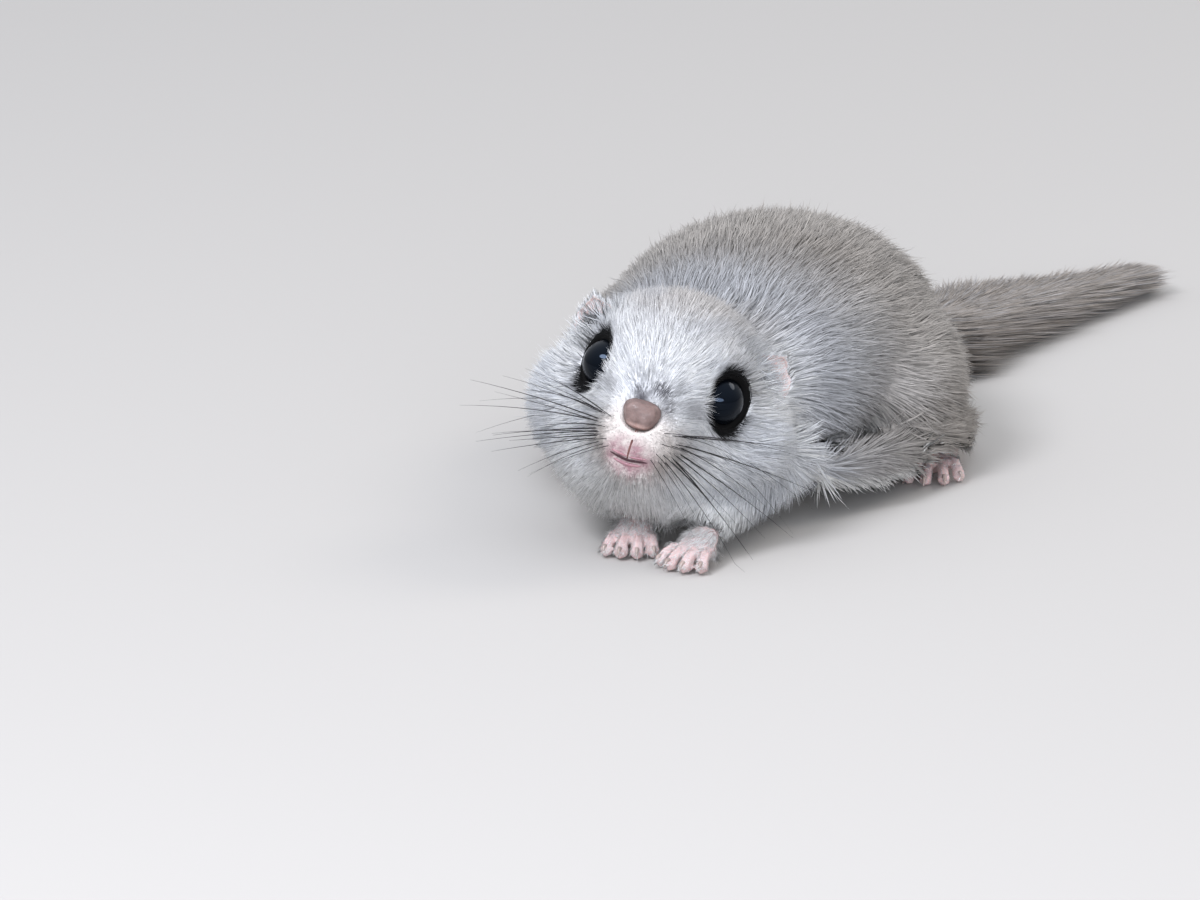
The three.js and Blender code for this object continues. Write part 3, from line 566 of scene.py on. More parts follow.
def wetEyeMaterial():
    # dark brown iris that looks black behind a wet clear cornea: mirror-smooth; the blue cast of its colour
    # and the blue tint of its gloss are a painted reflection of sky
    material, tree = newMaterial("wetCornea")
    place = {"Vector": addNode(tree, "ShaderNodeTexCoord").outputs["Object"]}
    depths = addNode(tree, "ShaderNodeTexNoise", {"Scale": 300.0, "Detail": 1.0}, place)
    # painted reflection: near black with a blue cast that stands in for sky seen in the eye
    irisAndSkyReflection = {"data_type": "RGBA", "A": opaque("#04060A"), "B": opaque("#080A0E")}
    tone = addNode(tree, "ShaderNodeMix", irisAndSkyReflection, {"Factor": depths.outputs["Fac"]})
    # painted reflection: the gloss tinted blue like the sky
    cornea = {"Roughness": 0.02, "IOR": 1.376, "Specular IOR Level": 0.3, "Specular Tint": opaque("#B9D2F5")}
    shader = addNode(tree, "ShaderNodeBsdfPrincipled", cornea, {"Base Color": tone.outputs["Result"]})
    closeMaterial(tree, shader)
    return material


hairMaterial = furMaterial("guardHair", 0.55)
plumeMaterial = furMaterial("plumeHair", 0.5)
woolMaterial = underfurMaterial()
noseMaterial = bareSkinMaterial("moistNose", "#FFFFFF", "#CFC4C2", 0.34, 0.5, 0.07, wet=0.1, soft=0.05,
                                painted="padToneAndShade")
mouthMaterial = bareSkinMaterial("mouthLining", "#4A2B33", "#2E191F", 0.3, 0.5, 0.02, soft=0.0)
lipMaterial = bareSkinMaterial("lipSkin", "#B88F97", "#7F5861", 0.3, 0.45, 0.03, wet=0.2)
cleftMaterial = bareSkinMaterial("cleftSkin", "#8E6560", "#5E3D3C", 0.3, 0.5, 0.03, soft=0.1)
pawMaterial = bareSkinMaterial("pawSkin", "#DCC6C4", "#B79A99", 0.4, 0.55, 0.05, soft=0.25)
clawMaterial = bareSkinMaterial("clawHorn", "#B4A49E", "#7F706A", 0.6, 0.3, 0.01, wet=0.2, soft=0.1)
earMaterial = bareSkinMaterial("earSkin", "#DCC8C5", "#B39E9A", 0.5, 0.6, 0.03, soft=0.3)
lidMaterial = bareSkinMaterial("lidSkin", "#0B0A0B", "#030303", 0.4, 0.6, 0.03, soft=0.0, gloss=0.1)
eyeMaterial = wetEyeMaterial()

# the skin: every furred solid in one surface, drawn in by the depth of the coat
skinPlan = {"voxel": 0.62, "smoothing": 14, "coatDepth": 0.85, "tone": 0.95,
            "tailInset": 2.2, "tailInsetGain": 2.6,
            "fleshNodes": ["head", "neck", "torso", "thigh_left", "thigh_right", "patagium_left",
                           "patagium_right", "forearm_left", "forearm_right", "tail_base"]}
plumePlan = {"path": [(2.4, 98, 11.5), (5, 118, 7.2), (9, 142, 4.7), (18, 168, 3.6), (32, 194, 3.2)],
             "start": 0.2, "pathSteps": 60, "coreSteps": 58, "coreRadii": (5.0, 3.4, 1.0), "halfWidth": 19.0,
             "tufts": 15000, "rootRange": (0.13, 0.87), "rootSkew": 1.2, "lengths": (12, 27), "tipRoom": 6,
             "floorRoom": 0.4}

tailLine = curveThrough(plumePlan["path"], plumePlan["pathSteps"]) + partShift
tailCoreRadii = np.interp(np.linspace(0, 1, plumePlan["pathSteps"]), [0, plumePlan["start"], 1],
                          plumePlan["coreRadii"])

flesh = [meshArrays(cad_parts[name].data)[:2] for name in skinPlan["fleshNodes"]]
coreEnd = plumePlan["coreSteps"]
flesh.append(tubePoints(tailLine[:coreEnd] * mm, tailCoreRadii[:coreEnd] * mm, 10))
skin = meshObject("skin", *joined(flesh), woolMaterial)
skinMesh = fineSurface(skin, skinPlan["voxel"], skinPlan["smoothing"])
skinPoints, skinTriangles, skinNormals = meshArrays(skinMesh)
p = skinPoints / mm
tailY = (p - partShift)[:, 1]
onTail = smooth(97, 104, tailY)
bodyInset = coatLengthAt(p) * coatRiseAt(p) * skinPlan["coatDepth"] * (1 - onTail)
tailInset = skinPlan["tailInset"] + skinPlan["tailInsetGain"] * smooth(106, 118, tailY)
inset = bodyInset + tailInset * onTail * smooth(122, 119, tailY)
skinMesh.vertices.foreach_set("co", ((p - skinNormals * inset[:, None]) * mm).ravel())
skinMesh.update()
skinPoints, skinTriangles, skinNormals = meshArrays(skinMesh)
paintPoints(skinMesh, "coat", coatColourAt(skinPoints / mm, skinNormals) * skinPlan["tone"])


def addUnwrap(mesh):
    totals = readAll(mesh.polygons, "loop_total", kind=np.int64)
    frontal = np.repeat(isFrontal(readAll(mesh.polygons, "center", 3) / mm), totals)
    loopVertices = readAll(mesh.loops, "vertex_index", kind=np.int64)
    uv = unwrapAt(readAll(mesh.vertices, "co", 3)[loopVertices] / mm, frontal)
    starts = np.concatenate([[0], np.cumsum(totals)[:-1]])
    low = np.repeat(np.minimum.reduceat(uv[:, 1], starts), totals)
    high = np.repeat(np.maximum.reduceat(uv[:, 1], starts), totals)
    wraps = (high - low > unwrapPlan["bodyRound"] / 2) & ~frontal & (uv[:, 1] < unwrapPlan["seam"])
    uv[wraps, 1] += unwrapPlan["bodyRound"]  # a face over the seam stays whole
    mesh.uv_layers.new(name="OFBake").data.foreach_set("uv", uv.ravel())


addUnwrap(skinMesh)
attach(skin, "root")
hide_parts(*skinPlan["fleshNodes"])
print("stage: skin", len(skinMesh.vertices), "points")


# tufts: closed three-sided tapering blades, rooted in the skin; sizes in mm
tuftPlan = {"sink": 0.25, "sway": 0.09, "floorRoom": 0.3, "tipFloorRoom": 0.15, "taper": (1.08, 0.75),
            "flat": 0.42, "corners": (math.pi / 2, math.pi * 7 / 6, math.pi * 11 / 6), "tipTone": 0.7}


def tuftFaces(segments):
    faces = [(0, 2, 1)]
    for r in range(segments - 1):
        for s in range(3):
            a, b, c, d = r * 3 + s, r * 3 + (s + 1) % 3, (r + 1) * 3 + (s + 1) % 3, (r + 1) * 3 + s
            faces += [(a, b, c), (a, c, d)]
    last = (segments - 1) * 3
    return faces + [(last + s, last + (s + 1) % 3, segments * 3) for s in range(3)]


def growTufts(name, roots, normals, lie, lengths, widths, rise, rootColour, tipColour, material,
              segments=2, curl=0.5):
    count = len(roots)
    steps = np.linspace(0, 1, segments + 1)[:-1]
    aside = np.cross(normals, lie)
    sway = rng.normal(0, tuftPlan["sway"], count)
    rows, leans = [], []
    wide, taper = tuftPlan["taper"]
    for t in steps:
        up = rise * (t * (1 + curl) - curl * t * t)
        centre = (roots - normals * tuftPlan["sink"] + lie * (lengths * t)[:, None]
                  + normals * (lengths * up)[:, None] + aside * (lengths * sway * t * t)[:, None])
        centre[:, 2] = np.maximum(centre[:, 2], tuftPlan["floorRoom"])
        half = widths * 0.5 * (1.0 if t == 0 else (wide - taper * t))
        for turn in tuftPlan["corners"]:
            rows.append(centre + aside * (half * math.cos(turn))[:, None]
                        + normals * (half * tuftPlan["flat"] * math.sin(turn))[:, None])
            leans.append(unit(normals * (0.8 + 0.3 * math.sin(turn))
                              + aside * (0.45 * math.cos(turn)) + lie * 0.12))
    tips = (roots + lie * lengths[:, None] + normals * (lengths * rise)[:, None]
            + aside * (lengths * sway)[:, None])
    tips[:, 2] = np.maximum(tips[:, 2], tuftPlan["tipFloorRoom"])
    rows.append(tips)
    leans.append(unit(normals + lie * 0.2))
    perTuft = len(rows)
    points = np.stack(rows, axis=1).reshape(-1, 3) * mm
    pattern = np.array(tuftFaces(segments))
    triangles = (pattern[None] + (np.arange(count) * perTuft)[:, None, None]).reshape(-1, 3)
    mesh = bpy.data.meshes.new(name)
    mesh.vertices.add(len(points))
    mesh.vertices.foreach_set("co", points.ravel())
    mesh.loops.add(triangles.size)
    mesh.loops.foreach_set("vertex_index", triangles.ravel())
    mesh.polygons.add(len(triangles))
    mesh.polygons.foreach_set("loop_start", np.arange(len(triangles)) * 3)
    mesh.update(calc_edges=True)
    leaning = np.stack(leans, axis=1).reshape(-1, 3)
    mesh.normals_split_custom_set_from_vertices(leaning)  # light falls on the coat as a whole
    shares = np.concatenate([np.repeat(steps, 3), [1.0]])
    along = (shares ** tuftPlan["tipTone"])[None, :, None]
    colour = rootColour[:, None] + (tipColour - rootColour)[:, None] * along
    paintPoints(mesh, "coat", colour.reshape(-1, 3))
    patchWidth, patchLength = unwrapPlan["hairPatch"]
    patch = np.array([[(s % 3) * patchWidth, shares[s] * patchLength] for s in range(perTuft)])
    uv = (unwrapAt(roots, isFrontal(roots))[:, None] + patch[None]).reshape(-1, 2)
    mesh.uv_layers.new(name="OFBake").data.foreach_set("uv", uv[triangles.ravel()].ravel())
    mesh.materials.append(material)
    grown = placed(name, mesh)
    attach(grown, "root")
    return grown


def sampleSkin(points, triangles, normals, densityOf):
    # random roots on a surface, thicker where densityOf says; everything in mm
    a, b, c = (points[triangles[:, k]] for k in range(3))
    areas = 0.5 * np.linalg.norm(np.cross(b - a, c - a), axis=1)
    wanted = areas * densityOf((a + b + c) / 3, unit(np.cross(b - a, c - a)))
    chosen = np.repeat(np.arange(len(triangles)), rng.poisson(wanted))
    u, v = rng.random(len(chosen)), rng.random(len(chosen))
    flip = u + v > 1
    u[flip], v[flip] = 1 - u[flip], 1 - v[flip]
    w = 1 - u - v
    roots = w[:, None] * a[chosen] + u[:, None] * b[chosen] + v[:, None] * c[chosen]
    rootNormals = unit(sum(k[:, None] * normals[triangles[chosen, i]] for i, k in enumerate((w, u, v))))
    return roots, rootNormals


# the coat: tufts to a square mm, widths in mm, and how single tufts differ from their neighbours
coatPlan = {
    "faceDensity": 12.5, "headDensity": 7.4, "bodyDensity": 3.7, "eyeRimDensity": 22.0, "tailDensity": 7.0,
    "limbDensity": 7.0, "bellyDensity": 0.8, "faceWidth": 0.2, "bodyWidth": 0.4, "eyeRimWidth": 0.17,
    "eyeRim": 1.15, "eyeHole": 4.9, "tailFrom": 97, "tailTo": 121, "tailFaceFrom": 108, "bellyHeight": 3.0,
    "lengthSpread": (0.78, 1.15), "widthSpread": (0.8, 1.2), "riseSpread": (0.75, 1.35),
    "tailWay": (0.09, 0.97, -0.2),
    "guardShare": 0.04, "guardLonger": 1.25, "guardFiner": 0.6, "guardSteeper": 1.2,
    "greyShare": 0.17, "greyTone": 0.66, "toneSpread": 0.15, "perPiece": 19000, "paleCount": 4,
}
# bare skin that no hair grows from: half sizes, drop below the eye line and how far back it reaches, in mm
barePatches = ({"half": (3.1, 2.7), "drop": 6.4, "depth": -6},
               {"half": (3.4, 0.7), "drop": 14.4, "depth": -4})
bareCleft = {"half": 0.45, "top": -9, "foot": -15, "depth": -7}


def coatDensityAt(p, normals):
    h = toHead(p)
    part = p - partShift
    onHead = headShare(h, 26, 17, (-30, -24))
    onCrown, onBody = coatPlan["headDensity"], coatPlan["bodyDensity"]
    face = onCrown + (coatPlan["faceDensity"] - onCrown) * smooth(14, 4, h[:, 1])
    density = onBody + (face - onBody) * onHead
    for side in sides.values():
        density = np.where(eyeDistance(h, side) < coatPlan["eyeRim"], coatPlan["eyeRimDensity"], density)
        facing = eyeFrame(side)[0]
        q = h - eyeCentre(side)
        offAxis = np.linalg.norm(q - np.outer(q @ facing, facing), axis=1)
        density = np.where((offAxis < coatPlan["eyeHole"]) & (q @ facing > 0), 0.0, density)
    for patch in barePatches:
        away = np.hypot(h[:, 0] / patch["half"][0], (h[:, 2] + patch["drop"]) / patch["half"][1])
        density = np.where((away < 1) & (h[:, 1] < patch["depth"]), 0.0, density)
    onCleft = (np.abs(h[:, 0]) < bareCleft["half"]) & (h[:, 1] < bareCleft["depth"])
    onCleft = onCleft & (h[:, 2] < bareCleft["top"]) & (h[:, 2] > bareCleft["foot"])
    density = np.where(onCleft, 0.0, density)
    density = np.where(part[:, 1] > coatPlan["tailFrom"], coatPlan["tailDensity"], density)
    tailEnd = (part[:, 1] > coatPlan["tailFaceFrom"]) & (normals[:, 1] > 0.55)
    density = np.where((part[:, 1] > coatPlan["tailTo"]) | tailEnd, 0.0, density)
    pressed = (part[:, 2] < coatPlan["bellyHeight"]) & (normals[:, 2] < -0.8)  # flat under the belly
    density = np.where(pressed, coatPlan["bellyDensity"], density)
    for limb in foreLimbs.values():
        near, away = nearLimb(part, limb)
        density = np.where((away < 8) & (near > 0.3), coatPlan["limbDensity"], density)
    return density


roots, normals = sampleSkin(skinPoints / mm, skinTriangles, skinNormals, coatDensityAt)
count = len(roots)
print("stage: coat roots", count, "face", int((toHead(roots)[:, 1] < 14).sum()))
h = toHead(roots)
partX, partY, partZ = (roots - partShift).T
tailWay = unit(np.array(coatPlan["tailWay"]))
onTail = smooth(99, 107, partY)
normals = unit(normals - np.outer(normals @ tailWay * onTail, tailWay))  # hair lies along the tail's root
lie = coatLieAt(roots, normals)
length = coatLengthAt(roots) * rng.uniform(*coatPlan["lengthSpread"], count)
width = coatPlan["bodyWidth"] + (coatPlan["faceWidth"] - coatPlan["bodyWidth"]) * headShare(h, 26, 17)
width = width * rng.uniform(*coatPlan["widthSpread"], count)
for side in sides.values():
    width = np.where(eyeDistance(h, side) < coatPlan["eyeRim"], coatPlan["eyeRimWidth"], width)
rise = coatRiseAt(roots) * rng.uniform(*coatPlan["riseSpread"], count)
guard = rng.random(count) < coatPlan["guardShare"]
length = np.where(guard, length * coatPlan["guardLonger"], length)
width = np.where(guard, width * coatPlan["guardFiner"], width)
rise = np.where(guard, rise * coatPlan["guardSteeper"], rise)
rise = rise * (1 - 0.7 * smooth(9, 2, partZ)) * (1 - 0.75 * smooth(100, 114, partY))
length = length * (1 - 0.5 * smooth(13, 3, partZ) * smooth(16, 26, partY))
colour = coatColourAt(roots, normals)
streak = np.clip(1 + coatPlan["toneSpread"] * rng.normal(0, 1, count), 0.55, 1.3)
streak = np.where(rng.random(count) < coatPlan["greyShare"], streak * coatPlan["greyTone"], streak)
dark = smooth(0.25, 0.05, colour.mean(axis=1))
streak = 1 + (streak - 1) * (1 - 0.6 * dark)
tipColour = np.clip(colour * streak[:, None], 0, 0.97)
rootColour = tipColour * (0.86 + 0.1 * dark)[:, None]
order = np.argsort(h[:, 1], kind="stable")
for n, start in enumerate(range(0, count, coatPlan["perPiece"])):
    pick = order[start:start + coatPlan["perPiece"]]
    piece = growTufts(f"coat_{n + 1}", roots[pick], normals[pick], lie[pick], length[pick], width[pick],
                      rise[pick], rootColour[pick], tipColour[pick], hairMaterial)
print("stage: coat grown")

# the plume: long silky hair in two flat ranks from a thin tail
n = plumePlan["tufts"]
share = rng.uniform(0.0, 1.0, n) ** plumePlan["rootSkew"]
t = plumePlan["rootRange"][0] + plumePlan["rootRange"][1] * share
lastStep = plumePlan["pathSteps"] - 1
at = t * lastStep
index = np.clip(at.astype(int), 0, lastStep - 1)
between = (at - index)[:, None]
tailAlong = unit(np.gradient(tailLine, axis=0))
centre = tailLine[index] * (1 - between) + tailLine[index + 1] * between
along = unit(tailAlong[index] * (1 - between) + tailAlong[index + 1] * between)
flatAlong = unit(along * np.array([1, 1, 0]))
side = np.where(rng.random(n) < 0.5, 1.0, -1.0)
out = np.stack([flatAlong[:, 1] * side, -flatAlong[:, 0] * side, np.zeros(n)], axis=1)
layer = np.where(rng.random(n) < 0.25, rng.uniform(0.6, 1.0, n), rng.uniform(-0.75, 1.0, n))  # below to above
up = np.tile([0.0, 0.0, 1.0], (n, 1))
radius = np.interp(t, [0.1, plumePlan["start"], 0.34, 1], [8.2, 6.8, 3.2, 0.8])
normal = unit(out * np.cos(layer * 1.57)[:, None] + up * np.sin(layer * 1.57)[:, None])
plumeRoots = centre + normal * radius[:, None]
halfWidth = plumePlan["halfWidth"] * np.sin(math.pi * np.interp(share, [0, 1], [0.24, 0.86])) ** 0.7
sweep = np.radians(np.interp(share, [0, 0.12, 0.75, 1], [14, 40, 27, 4]))  # the hair's turn from the tail
sweep = sweep * (1 - 0.72 * np.abs(layer) ** 1.5) * rng.uniform(0.75, 1.1, n)
plumeLength = np.clip(halfWidth / np.sin(np.maximum(sweep, 0.35)) * 0.86, *plumePlan["lengths"])
plumeLength = plumeLength * rng.uniform(0.75, 1.08, n)
plumeLength = np.minimum(plumeLength, (1.12 - t) * 100 + plumePlan["tipRoom"])
plumeLength = plumeLength * (1 - 0.35 * smooth(0.6, 1.0, layer))
plumeLength = plumeLength * (1 - 0.24 * smooth(0.45, 0.75, share) * smooth(0.98, 0.86, share))
plumeLie = unit(along * np.cos(sweep)[:, None] + out * np.sin(sweep)[:, None])
floorSlope = np.maximum(plumeRoots[:, 2] - plumePlan["floorRoom"], 0.1) / plumeLength
tipRise = (0.08 * layer + 0.02) * smooth(0.0, 0.15, share)
tipRise = np.maximum(tipRise, -floorSlope) - np.maximum(plumeLie[:, 2], 0) * 0.5
tipRise = np.maximum(tipRise, -floorSlope - np.minimum(plumeLie[:, 2], 0))
blade = unit(flattened(up, plumeLie))
plumeTone = np.clip(1 + 0.16 * rng.normal(0, 1, n), 0.5, 1.4)
edge = smooth(0.6, 1.0, np.sin(sweep) / 0.6)
plumeColour = layered(np.tile(shade["plume"], (n, 1)), (shade["faceGrey"], 0.35 * (rng.random(n) < 0.3)))
plumeTip = layered(plumeColour, (shade["plumeDark"], 0.55 * edge)) * plumeTone[:, None]
order = np.argsort(share)
for k, pick in enumerate((order[:n // 2], order[n // 2:])):
    widths = rng.uniform(0.45, 0.75, len(pick))
    piece = growTufts(f"plume_{k + 1}", plumeRoots[pick], blade[pick], plumeLie[pick], plumeLength[pick],
                      widths, tipRise[pick], plumeColour[pick] * 0.7, plumeTip[pick], plumeMaterial,
                      segments=3, curl=0.2)
    if k == 0:
        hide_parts("tail_plume")
print("stage: plume grown")

# eyes: black wet balls with a shallow bulge of cornea; the lids are a rolled rim with a skirt under the fur
eyePlan = {"radius": headPose["eyeRadius"], "bulge": 0.35, "rings": 32, "around": 56}
lidPlan = {"openAngle": 54, "frontAngle": 7, "tallAngle": 2.2, "radius": 5.12, "around": 72,
           "rim": [(0.0, -0.5), (0.1, 0.0), (0.36, 0.24), (0.42, 0.6), (0.22, 1.1), (-0.3, 1.8), (-1.0, 2.6),
                   (-1.9, 3.0), (-2.2, 2.0)]}


def eyeballShape(facing, across, up):
    points, faces, rings, around = [], [], eyePlan["rings"], eyePlan["around"]
    for r in range(rings + 1):
        polar = math.pi * r / rings
        radius = eyePlan["radius"] + eyePlan["bulge"] * max(0.0, math.cos(polar)) ** 6
        for k in range(around):
            turn = 2 * math.pi * k / around
            outward = across * math.cos(turn) + up * math.sin(turn)
            points.append(radius * (facing * math.cos(polar) + outward * math.sin(polar)))
    for r in range(rings):
        for k in range(around):
            j = (k + 1) % around
            faces.append((r * around + k, (r + 1) * around + k, (r + 1) * around + j, r * around + j))
    return np.array(points), faces


def lidShape(facing, across, up, side):
    points, faces, around, steps = [], [], lidPlan["around"], len(lidPlan["rim"])
    noseward = math.pi if side * across[0] > 0 else 0.0
    for k in range(around):
        turn = 2 * math.pi * k / around
        towards = across * math.cos(turn) + up * math.sin(turn)
        corner = max(0.0, math.cos(turn - noseward)) ** 10  # the front corner opens wider
        angle = lidPlan["openAngle"] + lidPlan["frontAngle"] * corner
        angle = math.radians(angle + lidPlan["tallAngle"] * abs(math.sin(turn)))
        start = facing * math.cos(angle) * lidPlan["radius"] + towards * math.sin(angle) * lidPlan["radius"]
        for lift, away in lidPlan["rim"]:
            points.append(start + facing * lift + towards * away)
    for k in range(around):
        j = (k + 1) % around
        for r in range(steps):
            q = (r + 1) % steps
            faces.append((k * steps + r, k * steps + q, j * steps + q, j * steps + r))
    return np.array(points), faces


lidPieces = {}
for name, s in sides.items():
    points, faces = eyeballShape(*eyeFrame(s))
    eye = meshObject(f"eyeball_{name}", fromHead(points + eyeCentre(s)) * mm, faces, eyeMaterial)
    eye.modifiers.new("poles", "WELD").merge_threshold = 1e-6
    bakeModifiers(eye)
    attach(eye, "root")
    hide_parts(f"eye_{name}")
    points, faces = lidShape(*eyeFrame(s), s)
    lids = meshObject(f"lids_{name}", fromHead(points + eyeCentre(s)) * mm, faces, lidMaterial)
    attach(lids, "root")
    lidPieces[name] = lids
print("stage: eyes and lids")


def refined(node, name, material, voxel, smoothing):
    # a CAD node rounded into a fine surface
    points, triangles, _ = meshArrays(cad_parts[node].data)
    piece = meshObject(name, points, triangles, material)
    fineSurface(piece, voxel, smoothing)
    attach(piece, "root")
    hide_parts(node)
    return piece


# the nose: a flatter pad, broad at its top corners, with a shallow groove down its lower middle, a paler
# lower rim, and painted shade darkening it towards the back, where it turns in to the fur
padPlan = {"centre": (0, -11.5, -6.1), "half": (3.2, 2.6), "boxy": 2.5, "groove": 0.3, "grooveHalf": 0.4,
           "skin": "#816E6A", "rim": "#C3A69F"}
nose = refined("nose", "nose_pad", noseMaterial, 0.18, 5)
nosePoints = meshArrays(nose.data)[0] / mm
q = toHead(nosePoints) - np.array(padPlan["centre"])
ahead = np.minimum(q[:, 1] + 0.9, 0)
turn = np.arctan2(q[:, 2] / padPlan["half"][1], q[:, 0] / padPlan["half"][0])
power = padPlan["boxy"]
boxy = (np.abs(np.cos(turn)) ** power + np.abs(np.sin(turn)) ** power) ** (-1 / power)
groove = padPlan["groove"] * np.exp(-(q[:, 0] / padPlan["grooveHalf"]) ** 2)
groove = groove * smooth(-0.6, -2.0, q[:, 2]) * (q[:, 1] < 0)
q[:, 1] = q[:, 1] - 0.5 * ahead + groove
rootFlare = 0.22 * smooth(-0.6, 1.0, q[:, 1])
q[:, 0] *= boxy * (0.88 + 0.05 * smooth(-1.5, 1.5, q[:, 2]) + rootFlare)
q[:, 2] *= boxy * (0.86 + rootFlare)
nose.data.vertices.foreach_set("co", (fromHead(q + np.array(padPlan["centre"])) * mm).ravel())
rimShare = (smooth(-1.3, -2.1, q[:, 2]) * smooth(0.3, -0.5, q[:, 1]))[:, None]
padTonesAndShade = linear(padPlan["skin"]) * (1 - rimShare) + linear(padPlan["rim"]) * rimShare
padTonesAndShade = padTonesAndShade * (1 + 0.16 * ripple(nosePoints, 1.1, 2.0) + 0.1 * ripple(nosePoints, 0.5, 8.0))[:, None]
# painted shade: the pad darker towards its back, where it turns in to the fur
padTonesAndShade = padTonesAndShade * (1 - 0.55 * smooth(-0.2, 1.0, q[:, 1]))[:, None]
paintPoints(nose.data, "padToneAndShade", padTonesAndShade)
nose.data.update()
paws = {node: refined(node, f"{node}_skin", pawMaterial, 0.3, 5)
        for node in ("forepaw_left", "forepaw_right", "hindfoot_left", "hindfoot_right")}
ears = {name: refined(f"ear_{name}", f"ear_{name}_cup", earMaterial, 0.28, 3) for name in sides}
print("stage: nose, paws and ears")

# short hair on bare pieces: tufts to a square mm, length and width in mm, and how far single hairs stray
shortHair = {
    "eyeRing": {"density": 34.0, "length": 1.25, "width": 0.15, "rise": 0.32, "stray": 0.25,
                "toneSpread": 0.3, "colour": "eyeRing", "slot": "eye"},
    "ear": {"density": 22.0, "length": 1.6, "width": 0.16, "rise": 0.3, "stray": 0.1, "toneSpread": 0.12,
            "colour": "faceWhite", "slot": "ear_skin"},
    "forepaw": {"density": 22.0, "length": 3.0, "shorter": 1.9, "width": 0.17, "rise": 0.24, "stray": 0.12,
                "toneSpread": 0.25, "colour": "paw", "slot": "paw_skin"},
    "hindfoot": {"density": 6.0, "length": 2.8, "shorter": 1.4, "width": 0.2, "rise": 0.25, "stray": 0.12,
                 "toneSpread": 0.2, "colour": "paw", "slot": "paw_skin"},
}


def furOn(name, piece, plan, lengthOf, wayOf, shareOf):
    points, triangles, normals = meshArrays(piece.data)
    roots, rootNormals = sampleSkin(points / mm, triangles, normals,
                                    lambda c, faceNormals: plan["density"] * shareOf(c, faceNormals))
    count = len(roots)
    lie = unit(flattened(wayOf(roots) + plan["stray"] * rng.normal(0, 1, (count, 3)), rootNormals))
    lengths = lengthOf(roots) * rng.uniform(0.7, 1.2, count)
    tone = np.clip(1 + plan["toneSpread"] * rng.normal(0, 1, count), 0.5, 1.4)
    colour = shade[plan["colour"]] * tone[:, None]
    rise = np.full(count, plan["rise"]) * rng.uniform(0.7, 1.3, count)
    grown = growTufts(name, roots, rootNormals, lie, lengths, np.full(count, plan["width"]), rise,
                      colour * 0.75, np.clip(colour, 0, 0.92), hairMaterial)


def furOnEyeRing(name, side):
    axis = eyeFrame(side)[0] @ headTurn.T
    middle = fromHead(eyeCentre(side))

    def fromAxis(r):
        q = r - middle
        return q - np.outer(q @ axis, axis)

    def share(c, faceNormals):
        onRim = np.linalg.norm(fromAxis(c), axis=1) > 4.6
        return onRim * (faceNormals @ axis > 0.0) * (eyeDistance(toHead(c), side) < 1.0)

    plan = shortHair["eyeRing"]
    furOn(f"eye_ring_{name}", lidPieces[name], plan, lambda r: plan["length"],
          lambda r: unit(fromAxis(r)), share)


def furOnEar(name, side):
    upward = unit(np.array([side * 0.4, 0.16, 0.9])) @ headTurn.T
    facing = unit(np.array([side * 0.5, -0.86, -0.02])) @ headTurn.T
    plan = shortHair["ear"]
    furOn(f"ear_{name}_hair", ears[name], plan, lambda r: plan["length"], lambda r: upward,
          lambda c, faceNormals: np.where(faceNormals @ facing > 0.3, 0.5, 1.0))


def furOnForepaw(name, limb):
    wrist, tip = np.array(limb["wrist"]) + partShift, np.array(limb["tip"]) + partShift
    along = unit(tip - wrist)
    plan = shortHair["forepaw"]

    def lengthAt(r):
        return plan["length"] - plan["shorter"] * np.clip((r - wrist) @ along / 8, 0, 1)

    def share(c, faceNormals):
        return np.clip(1.85 - (c - wrist) @ along / 9.5, 0.12, 1) * (faceNormals[:, 2] > -0.3)

    furOn(f"forepaw_{name}_hair", paws[f"forepaw_{name}"], plan, lengthAt, lambda r: along, share)


def furOnHindfoot(name):
    heel = 84 + partShift[1]
    plan = shortHair["hindfoot"]

    def lengthAt(r):
        return plan["length"] - plan["shorter"] * np.clip((heel - r[:, 1]) / 30, 0, 1)

    def share(c, faceNormals):
        return np.clip(1.15 - (heel - c[:, 1]) / 32, 0, 1) * (faceNormals[:, 2] > -0.2)

    furOn(f"hindfoot_{name}_hair", paws[f"hindfoot_{name}"], plan, lengthAt,
          lambda r: np.array([0, -1, 0]), share)


for name, s in sides.items():
    furOnEyeRing(name, s)
    furOnEar(name, s)
for name, limb in foreLimbs.items():
    furOnForepaw(name, limb)
for name in sides:
    furOnHindfoot(name)
print("stage: hair on ears and paws")

# claws: short hooked horn at the end of each toe
pawPlan = {
    "forepaw": {"digits": (0.86, 1, 1, 0.84), "spread": 34, "palm": 6, "width": 3.9, "reach": 5.1,
                "half": 1.3},
    "hindfoot": {"digits": (0.74, 0.98, 1, 0.98, 0.8), "spread": 42, "palm": 20, "width": 4.4, "reach": 9.4,
                 "half": 1.2},
}
